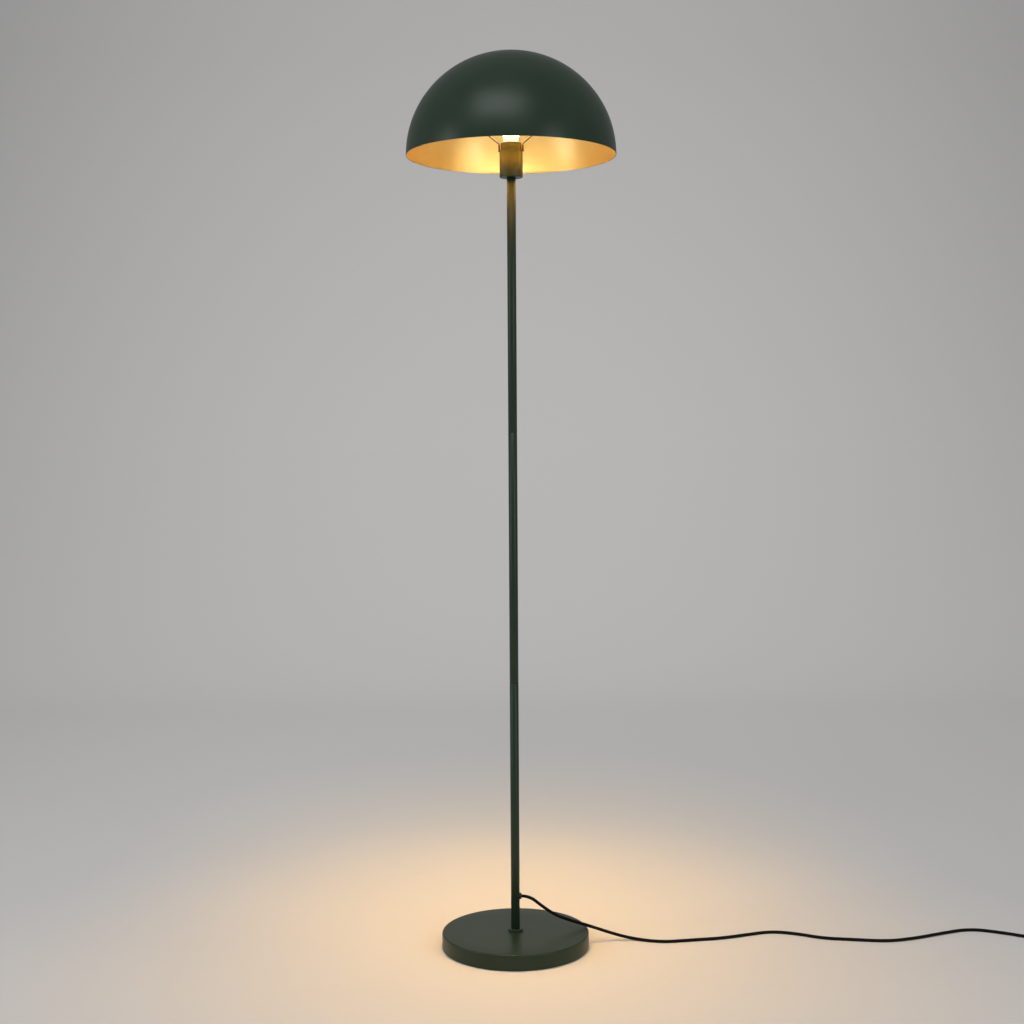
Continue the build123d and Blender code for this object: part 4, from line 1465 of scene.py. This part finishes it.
# ------------------------------------------------------------------ bulb
@dataclass
class Bulb:
    """The lit opal globe and its screw cap."""

    globe: float = Span.of("bulb_globe").radius
    neck_low: float = Span.of("bulb_globe").bottom
    top: float = Span.of("bulb_globe").top
    neck: float = 12.4 * MM
    flare: float = 28.0 * MM
    wall: float = 1.0 * MM
    cap_radius: float = Span.of("bulb_screw_cap").radius
    cap_low: float = Span.of("bulb_screw_cap").bottom
    cap_high: float = Span.of("bulb_screw_cap").top
    cap_wall: float = 0.4 * MM
    thread_depth: float = 0.7 * MM
    thread_pitch: float = 3.6 * MM
    threads: int = 4
    thread_start: float = 3.2 * MM
    thread_steps: int = 8
    cap_foot: float = 0.5 * MM
    cap_collar: float = 0.3 * MM
    collar_length: float = 2.5 * MM

    def glass_line(self, inset: float) -> list[tuple[float, float]]:
        """Outline of the glass from the neck to the crown.

        Args:
            inset: How far inside the glass's outer face it lies.

        Returns:
            (radius, height) of each corner.
        """
        radius, neck, flare = self.globe - inset, self.neck - inset, self.flare + inset
        centre = self.top - self.globe
        drop = math.sqrt((radius + flare) ** 2 - (neck + flare) ** 2)
        turn = math.degrees(math.atan2(drop, neck + flare))
        return [
            (neck, self.neck_low),
            *arc((neck + flare, centre - drop), flare, 180, 180 - turn, 12),
            *arc((0, centre), radius, -turn, 90, 28)[1:-1],
            (0, centre + radius),
        ]

    def glass(self) -> None:
        """Blows the globe."""
        outline = self.glass_line(0) + list(reversed(self.glass_line(self.wall)))
        piece = turned("bulb_glass", outline, steps=72)
        finished(piece, Finishes.opal, "bulb", "opal_glass", "bulb_globe")

    def cap(self) -> None:
        """Rolls the screw cap, with its round thread drawn as ridges."""
        outer = [(self.cap_radius - self.cap_foot, self.cap_low)]
        for index in range(self.threads):
            middle = self.cap_low + self.thread_start + index * self.thread_pitch
            for step in range(self.thread_steps + 1):
                share = step / self.thread_steps
                rise = (1 - math.cos(FULL_TURN * share)) / 2
                radius = self.cap_radius - self.thread_depth * (1 - rise)
                outer.append((radius, middle + (share - 0.5) * self.thread_pitch))
        collar = self.cap_radius - self.cap_collar
        outer += [(collar, self.cap_high - self.collar_length), (collar, self.cap_high)]
        inner = [(radius - self.cap_wall * 0.5, height) for radius, height in reversed(outer)]
        piece = turned("bulb_cap_rolled", outer + inner, steps=72)
        finished(piece, Finishes.nickel, "bulb", "nickel_plate", "bulb_screw_cap", angle=50)

    def build(self) -> None:
        """Makes the bulb's outside."""
        self.glass()
        self.cap()


# ------------------------------------------------------------------ strain reliefs
@dataclass
class StrainRelief:
    """A tapered, ribbed sleeve of soft PVC where the flex goes into a housing."""

    node: str
    mouth: Point
    inward: int
    length: float = 20.0 * MM
    tip: float = 3.6 * MM
    root: float = 4.6 * MM
    neck: float = 4.55 * MM
    neck_length: float = 3.5 * MM
    bore: float = 2.75 * MM
    ribs: int = 6
    rib_share: float = 0.6
    groove: float = 0.75 * MM
    tip_edge: float = 0.4 * MM
    first_rib: float = 1.6 * MM
    plain: float = 3 * MM

    def build(self) -> bpy.types.Object:
        """Turns the sleeve and lays it along X, its tip at the mouth.

        Returns:
            The strain relief.
        """
        outline = [(self.bore, 0), (self.tip - self.tip_edge, 0), (self.tip, self.tip_edge)]
        pitch = (self.length - self.plain) / self.ribs
        for index in range(self.ribs):
            start = self.first_rib + index * pitch
            width = pitch * (1 - self.rib_share)
            for share, depth in ((0.0, 0.0), (0.3, self.groove), (1.0, self.groove), (1.3, 0.0)):
                place = start + share * width
                radius = self.tip + (self.root - self.tip) * place / self.length
                outline.append((radius - depth, place))
        outline += [
            (self.root, self.length),
            (self.neck, self.length),
            (self.neck, self.length + self.neck_length),
            (self.bore, self.length + self.neck_length),
        ]
        piece = turned(self.node + "_ribbed", outline, steps=48)
        move(piece, Matrix.Translation(self.mouth) @ Matrix.Rotation(QUARTER_TURN * self.inward, 4, "Y"))
        return finished(piece, Finishes.rubber, "stand", "black_rubber", self.node, angle=50)


# ------------------------------------------------------------------ foot switch
@dataclass
class FootSwitch:
    """The switch on the lead: two shells, a dished round button and a strain relief at each end."""

    x: float = 1.013
    y: float = 0.010
    length: float = 70 * MM
    width: float = 36 * MM
    corner: float = 11 * MM
    wall: float = 2 * MM
    low: float = Span.of("switch_base").bottom
    split: float = Span.of("switch_cover").bottom
    top: float = Span.of("switch_cover").top
    edge: float = 3 * MM
    cord_height: float = 9 * MM
    bore: float = 4.65 * MM
    button: float = 12 * MM
    button_flange: float = 13.6 * MM
    button_gap: float = 0.35 * MM
    button_low: float = Span.of("switch_button").bottom
    button_high: float = Span.of("switch_button").top
    dish: float = 0.9 * MM
    break_edge: float = 0.25 * MM
    screw_x: float = 27 * MM
    screw_y: float = 10 * MM
    screw_hole: float = 2.7 * MM
    screw_depth: float = 6 * MM
    flange_thick: float = 1.5 * MM
    button_edge: float = 1.2 * MM
    ring_mm: tuple[float, ...] = (9.6, 8.0, 6.4, 4.8)
    ring_half: float = 0.4 * MM
    ring_depth: float = 0.3 * MM

    def slab(
        self, name: str, inset: float, low: float, high: float, over: float = 0, under: float = 0
    ) -> bpy.types.Object:
        """A cube pressed into the switch's rounded outline.

        Args:
            name: The piece's name.
            inset: How far inside the housing's outline it lies.
            low: Its underside.
            high: Its top.
            over: Rounding of its top edge; 0 leaves it sharp.
            under: Rounding of its lower edge; 0 leaves it sharp.

        Returns:
            The slab, at the switch's place.
        """
        size = (self.length - 2 * inset, self.width - 2 * inset, high - low)
        piece = block(name, (self.x, self.y, (low + high) / 2), size)
        with editing(piece):
            pick_edges(piece, "z")
            bpy.ops.mesh.bevel(offset=self.corner - inset, segments=10, affect="EDGES")
            for level, radius in ((high, over), (low, under)):
                if radius > 0:
                    pick_level(piece, level)
                    bpy.ops.mesh.region_to_loop()
                    bpy.ops.mesh.bevel(offset=radius, segments=6, affect="EDGES")
        return piece

    def shells(self) -> list[bpy.types.Object]:
        """Makes the two halves of the housing.

        Returns:
            The upper and the lower shell.
        """
        along = (self.x, self.y, self.cord_height)
        cover = self.slab("switch_cover_shell", 0, self.split, self.top, over=self.edge)
        cut_out(cover, self.slab("cutter", self.wall, self.split - self.wall, self.top - self.wall))
        top = (self.x, self.y, self.top)
        drill(cover, self.button + self.button_gap, 3 * self.wall, top, along_x=False)
        drill(cover, self.bore, 2 * self.length, along, along_x=True)
        bottom = self.slab("switch_base_shell", 0, self.low, self.split, under=self.wall / 2)
        cut_out(bottom, self.slab("cutter", self.wall, self.low + self.wall, self.split + self.wall))
        drill(bottom, self.bore, 2 * self.length, along, along_x=True)
        for side in (1, -1):
            spot = (self.x + side * self.screw_x, self.y - side * self.screw_y, self.low)
            drill(bottom, self.screw_hole, self.screw_depth, spot, along_x=False)
        for shell, node in ((cover, "switch_cover"), (bottom, "switch_base")):
            bevel(shell, self.break_edge, segments=2, angle=50)
            finished(shell, Finishes.abs_black, "stand", "black_thermoplastic", node)
        return [cover, bottom]

    def button_piece(self) -> bpy.types.Object:
        """Turns the button, dished for a toe, with rings that grip.

        Returns:
            The button.
        """
        flange_high = self.button_low + self.flange_thick
        rim = self.button_high
        outline = [
            (0, self.button_low),
            (self.button_flange, self.button_low),
            (self.button_flange, flange_high),
            (self.button, flange_high),
            *arc((self.button - self.button_edge, rim - self.button_edge), self.button_edge, 0, 90, 6),
        ]
        for radius in self.ring_mm:
            outside = radius * MM
            low = rim - self.dish * (1 - (outside / self.button) ** 2)
            outline += [
                (outside, low),
                (outside - self.ring_half, low - self.ring_depth),
                (outside - 2 * self.ring_half, low),
            ]
        outline += [(0, rim - self.dish)]
        piece = turned("switch_button_dished", outline, steps=72, closed=False)
        move(piece, Matrix.Translation((self.x, self.y, 0)))
        return finished(
            piece, Finishes.abs_grey, "switch_button", "grey_thermoplastic", "switch_button", angle=40
        )

    def build(self) -> tuple[list[bpy.types.Object], bpy.types.Object]:
        """Makes the switch.

        Returns:
            The pieces on the lamp's side, and the strain relief on the plug's side.
        """
        reach = self.length / 2 + StrainRelief.length
        inlet = StrainRelief("switch_inlet_gland", (self.x - reach, self.y, self.cord_height), 1).build()
        outlet = StrainRelief("switch_outlet_gland", (self.x + reach, self.y, self.cord_height), -1).build()
        return [inlet, *self.shells(), self.button_piece()], outlet


# ------------------------------------------------------------------ plug
@dataclass
class Plug:
    """The moulded two-pin plug, its pins with sleeves at the root."""

    x: float = Span.of("plug_body").low.x
    y: float = -0.120
    height: float = 7 * MM
    length: float = 38 * MM
    shoulder: float = 17.1 * MM
    wide: float = 33 * MM
    thick: float = 14 * MM
    neck_wide: float = 15 * MM
    neck_thick: float = 11.2 * MM
    edge: float = 2.6 * MM
    pin: float = 2.0 * MM
    pin_length: float = 19 * MM
    pin_space: float = 9.3 * MM
    sleeve_length: float = 9 * MM
    root: float = 6 * MM
    pin_edge: float = 1.2 * MM
    pin_waist: float = 0.15 * MM
    sleeve_start: float = 1 * MM
    sleeve_taper: float = 0.2 * MM
    panel: float = 1.6 * MM
    panel_step: float = 0.5 * MM
    panel_least: float = 2e-4
    seam_edge: float = 0.2 * MM

    def body(self) -> bpy.types.Object:
        """Presses a cube into the plug's wide part, draws out its neck and rounds it all over.

        Returns:
            The plug's body.
        """
        middle = (self.shoulder + self.length) / 2
        size = (self.length - self.shoulder, self.wide, self.thick)
        piece = block("plug_body_moulded", (self.x + middle, self.y, self.height), size)
        with editing(piece):
            pick_faces(piece, lambda face: face.normal.x < -ALIGNED)
            bpy.ops.mesh.extrude_region_move(TRANSFORM_OT_translate={"value": (-self.shoulder, 0, 0)})
            bpy.ops.transform.resize(
                value=(1, self.neck_wide / self.wide, self.neck_thick / self.thick),
                center_override=(self.x, self.y, self.height),
            )
            bpy.ops.mesh.select_all(action="SELECT")
            bpy.ops.mesh.bevel(offset=self.edge, segments=5, affect="EDGES")
            pick_faces(piece, self.on_panel)
            bpy.ops.mesh.inset(thickness=self.panel, depth=0)
            bpy.ops.mesh.inset(thickness=self.panel_step, depth=-self.panel_step)
        bevel(piece, self.seam_edge, segments=2, angle=30)
        return finished(piece, Finishes.rubber, "stand", "black_pvc", "plug_body", angle=35)

    def on_panel(self, face: bmesh.types.BMFace) -> bool:
        """Says whether a face is one of the body's large flat ones, above or below."""
        return abs(face.normal.z) > ALIGNED and face.calc_area() > self.panel_least

    def pair(self, name: str, outline: Outline) -> bpy.types.Object:
        """Turns one part of a pin, lays it along X and sets it twice.

        Args:
            name: The pair's name.
            outline: (radius, distance from the plug's face) of each corner.

        Returns:
            The two parts as one piece.
        """
        first = turned(name, outline, steps=32, closed=False)
        move(first, Matrix.Rotation(QUARTER_TURN, 4, "Y"))
        second = mesh_copy(first, name + "_other")
        start = self.x + self.length
        move(first, Matrix.Translation((start, self.y + self.pin_space, self.height)))
        move(second, Matrix.Translation((start, self.y - self.pin_space, self.height)))
        return joined(name, [first, second])

    def pins(self) -> list[bpy.types.Object]:
        """Makes the metal pins and their insulating sleeves.

        Returns:
            The pins and the sleeves.
        """
        thin = self.pin - self.pin_waist
        nose = self.pin_length - self.pin_edge
        metal = self.pair("plug_pins_turned", [
            (0, -self.root),
            (thin, -self.root),
            (thin, nose),
            *arc((thin - self.pin_edge, nose), self.pin_edge, 0, 90, 5)[1:],
            (0, self.pin_length),
        ])
        sleeve = self.pair("plug_pin_sleeves", [
            (0, -self.sleeve_start),
            (self.pin, -self.sleeve_start),
            (self.pin, self.sleeve_length - self.sleeve_taper),
            (thin, self.sleeve_length),
            (0, self.sleeve_length),
        ])
        return [
            finished(metal, Finishes.nickel, "stand", "nickel_plate", "plug_pins"),
            finished(sleeve, Finishes.abs_black, "stand", "black_pvc"),
        ]

    def build(self) -> list[bpy.types.Object]:
        """Makes the plug."""
        mouth = (self.x - StrainRelief.length, self.y, self.height)
        gland = StrainRelief("plug_gland", mouth, 1, neck_length=self.root).build()
        return [self.body(), *self.pins(), gland]


# ------------------------------------------------------------------ the flex
@dataclass
class Flex:
    """The round mains flex: from the pole to the switch, and on through its coil to the plug."""

    diameter: float = 5.4 * MM
    coil_x: float = 930.0
    coil_y: float = -95.0
    coil_outer: float = 40.75
    coil_step: float = 3.45
    coil_low: float = 3.4
    coil_high: float = 9.9
    half_turns: int = 5
    points_each: int = 12
    lead_length: float = 1.014
    tail_length: float = 1.479

    def coil(self) -> list[Point]:
        """Points round the coil, in millimetres: in along the floor, up a layer, and out again.

        Returns:
            The coil's control points.
        """
        inward = [(self.coil_outer - self.coil_step * i, self.coil_low) for i in range(self.half_turns + 1)]
        stops = inward + [(distance, self.coil_high) for distance, _ in reversed(inward)]
        slack = 1 / math.cos(math.pi / (2 * self.points_each))
        points: list[Point] = []
        for index, ((near, low), (far, high)) in enumerate(zip(stops, stops[1:])):
            side = 1 if index % 2 == 0 else -1
            centre = self.coil_y + side * (near - far) / 2
            radius = (near + far) / 2 * slack
            for step in range(self.points_each):
                share = (step + 0.5) / self.points_each
                angle = math.radians(90 * side + 180 * share)
                points.append((
                    self.coil_x + radius * math.cos(angle),
                    centre + radius * math.sin(angle),
                    low + (high - low) * share,
                ))
        return points

    def lay(self, name: str, route: Sequence[Point], nodes: Sequence[str]) -> bpy.types.Object:
        """Lays one stretch of flex as a smooth curve.

        Args:
            name: The piece's name.
            route: Its control points in millimetres.
            nodes: The CAD nodes that it stands for.

        Returns:
            The curve.
        """
        curve = bpy.data.curves.new(name, "CURVE")
        curve.dimensions = "3D"
        spline = curve.splines.new("NURBS")
        spline.points.add(len(route) - 1)
        for spot, place in zip(spline.points, route):
            spot.co = (*(value * MM for value in place), 1.0)
        spline.order_u = 3
        spline.use_endpoint_u = True
        spline.resolution_u = 10
        curve.bevel_depth = self.diameter / 2
        curve.bevel_resolution = 6
        curve.use_fill_caps = True
        piece = bpy.data.objects.new(name, curve)
        bpy.context.scene.collection.objects.link(piece)
        dress(piece, Finishes.sheath)
        place_piece(piece, "stand", "black_pvc", *nodes)
        return piece

    def build(self, on_lead: list[bpy.types.Object], on_tail: list[bpy.types.Object]) -> None:
        """Args:
            on_lead: The pieces on the stretch from the pole; not used.
            on_tail: The pieces on the stretch to the plug; not used.
        """
        lead_route = [
            (10.5, 0.0, 87.0), (25.0, 0.0, 86.0), (45.0, 2.0, 69.0), (66.0, 6.0, 53.0), (88.0, 10.0, 43.0),
            (112.0, 14.0, 34.5), (142.0, 20.0, 22.8), (176.0, 27.0, 9.5), (206.0, 25.0, 2.7),
            (252.0, 8.0, 2.7), (300.0, 17.5, 2.7), (356.0, 26.5, 2.7), (402.0, 44.0, 2.7),
            (447.0, 61.0, 2.7), (492.0, 47.0, 2.7), (530.0, 23.5, 2.7), (582.0, 15.3, 2.7),
            (638.0, 5.8, 2.7), (690.0, 21.0, 2.7), (742.0, 46.0, 2.7), (797.0, 68.5, 2.7),
            (848.0, 47.0, 2.7), (893.0, 18.0, 2.7), (930.0, 10.0, 9.0), (958.0, 10.0, 9.0),
        ]
        tail_route = [
            (1068.0, 10.0, 9.0), (1094.5, 10.0, 9.0), (1113.5, -9.0, 6.5), (1113.5, -36.0, 3.8),
            (1094.0, -55.5, 3.4), (1040.0, -66.0, 3.4), (978.0, -54.25, 3.4), (935.4, -54.25, 3.4),
        ]
        end_route = [
            (935.4, -135.75, 9.9), (958.0, -135.75, 9.9), (995.0, -126.0, 5.5),
            (1032.0, -120.0, 7.0), (1054.0, -120.0, 7.0),
        ]
        lead = self.lay("flex_lead", lead_route, ["cord_lead"])
        whole_tail = [*tail_route, *self.coil(), *end_route]
        tail = self.lay("flex_tail", whole_tail, ["cord_tail", "cord_coil", "cord_end"])


@dataclass
class CoilTie:
    """A hook-and-loop strap round the put-away coil."""

    thickness: float = 0.5 * MM
    corner: float = 2.4 * MM
    edge: float = 0.12 * MM

    def build(self) -> bpy.types.Object:
        """Bends a strap round the turns.

        Returns:
            The strap.
        """
        low, high = Span.of("coil_tie").low, Span.of("coil_tie").high
        piece = block("coil_tie_strap", (low + high) / 2, high - low)
        with editing(piece):
            pick_edges(piece, "y")
            bpy.ops.mesh.bevel(offset=self.corner, segments=6, affect="EDGES")
            pick_faces(piece, lambda face: abs(face.normal.y) > ALIGNED)
            bpy.ops.mesh.delete(type="ONLY_FACE")
            bpy.ops.mesh.select_all(action="SELECT")
            bpy.ops.mesh.normals_make_consistent(inside=False)
            pick_level(piece, high.z)
            bpy.ops.mesh.subdivide(number_cuts=4)
        strap = piece.modifiers.new("strap", "SOLIDIFY")
        strap.thickness = self.thickness
        strap.offset = -1
        apply_modifiers(piece)
        bevel(piece, self.edge, segments=2, angle=60)
        return finished(piece, Finishes.nylon, "stand", "black_nylon_tie", "coil_tie")


# ------------------------------------------------------------------ pieces kept as the frame has them
KEPT = (
    (Finishes.iron, ("base_weight",)),
    (Finishes.zinc, (
        "base_bolt", "base_washer", "base_lock_washer", "pole_foot_bush", "lower_joint_bush",
        "lower_joint_stud", "upper_joint_bush", "upper_joint_stud", "pole_top_bush", "holder_nipple",
        "holder_nut", "holder_terminal_screws", "finial_stud", "switch_spring", "switch_screws",
    )),
    (Finishes.sheath, ("inner_lead", "lead_cores", "flex_ends")),
    (Finishes.phenolic, ("holder_body",)),
    (Finishes.brass, ("holder_terminals", "holder_contact", "holder_shell")),
    (Finishes.green_coat, ("harp_saddle",)),
    (Finishes.fibre, ("shade_washer",)),
    (Finishes.clear, ("bulb_insulator", "bulb_stem")),
    (Finishes.nickel, ("bulb_contact",)),
    (Finishes.phosphor, ("bulb_filaments",)),
    (Finishes.abs_black, ("switch_contact_block",)),
    (Finishes.rubber, ("switch_feet",)),
)


def dress_kept() -> None:
    """Gives each piece that stays as the frame has it its own finish."""
    for finish, nodes in KEPT:
        for node in nodes:
            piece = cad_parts[node]
            if not piece.material_slots:
                piece.data.materials.append(None)
            for slot in piece.material_slots:
                slot.material = PALETTE.get(finish)
            LOG.info("%s: %s", node, finish.name)


def main() -> None:
    """Builds the studio and the lamp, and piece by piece."""
    logging.basicConfig(level=logging.INFO, format="%(message)s")
    studio = Studio()
    studio.build()
    Base().build()
    Pole().build()
    Lampholder().build()
    Harp().build()
    Shade().build()
    Bulb().build()
    switch, outlet = FootSwitch().build()
    plug = Plug().build()
    tie = CoilTie().build()
    in_switch = ("switch_spring", "switch_contact_block", "switch_screws", "switch_feet", "flex_ends")
    Flex().build([*switch, *(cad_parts[name] for name in in_switch)], [outlet, tie, *plug])
    dress_kept()
    studio.hang_lamps()


if __name__ == "__main__":
    main()
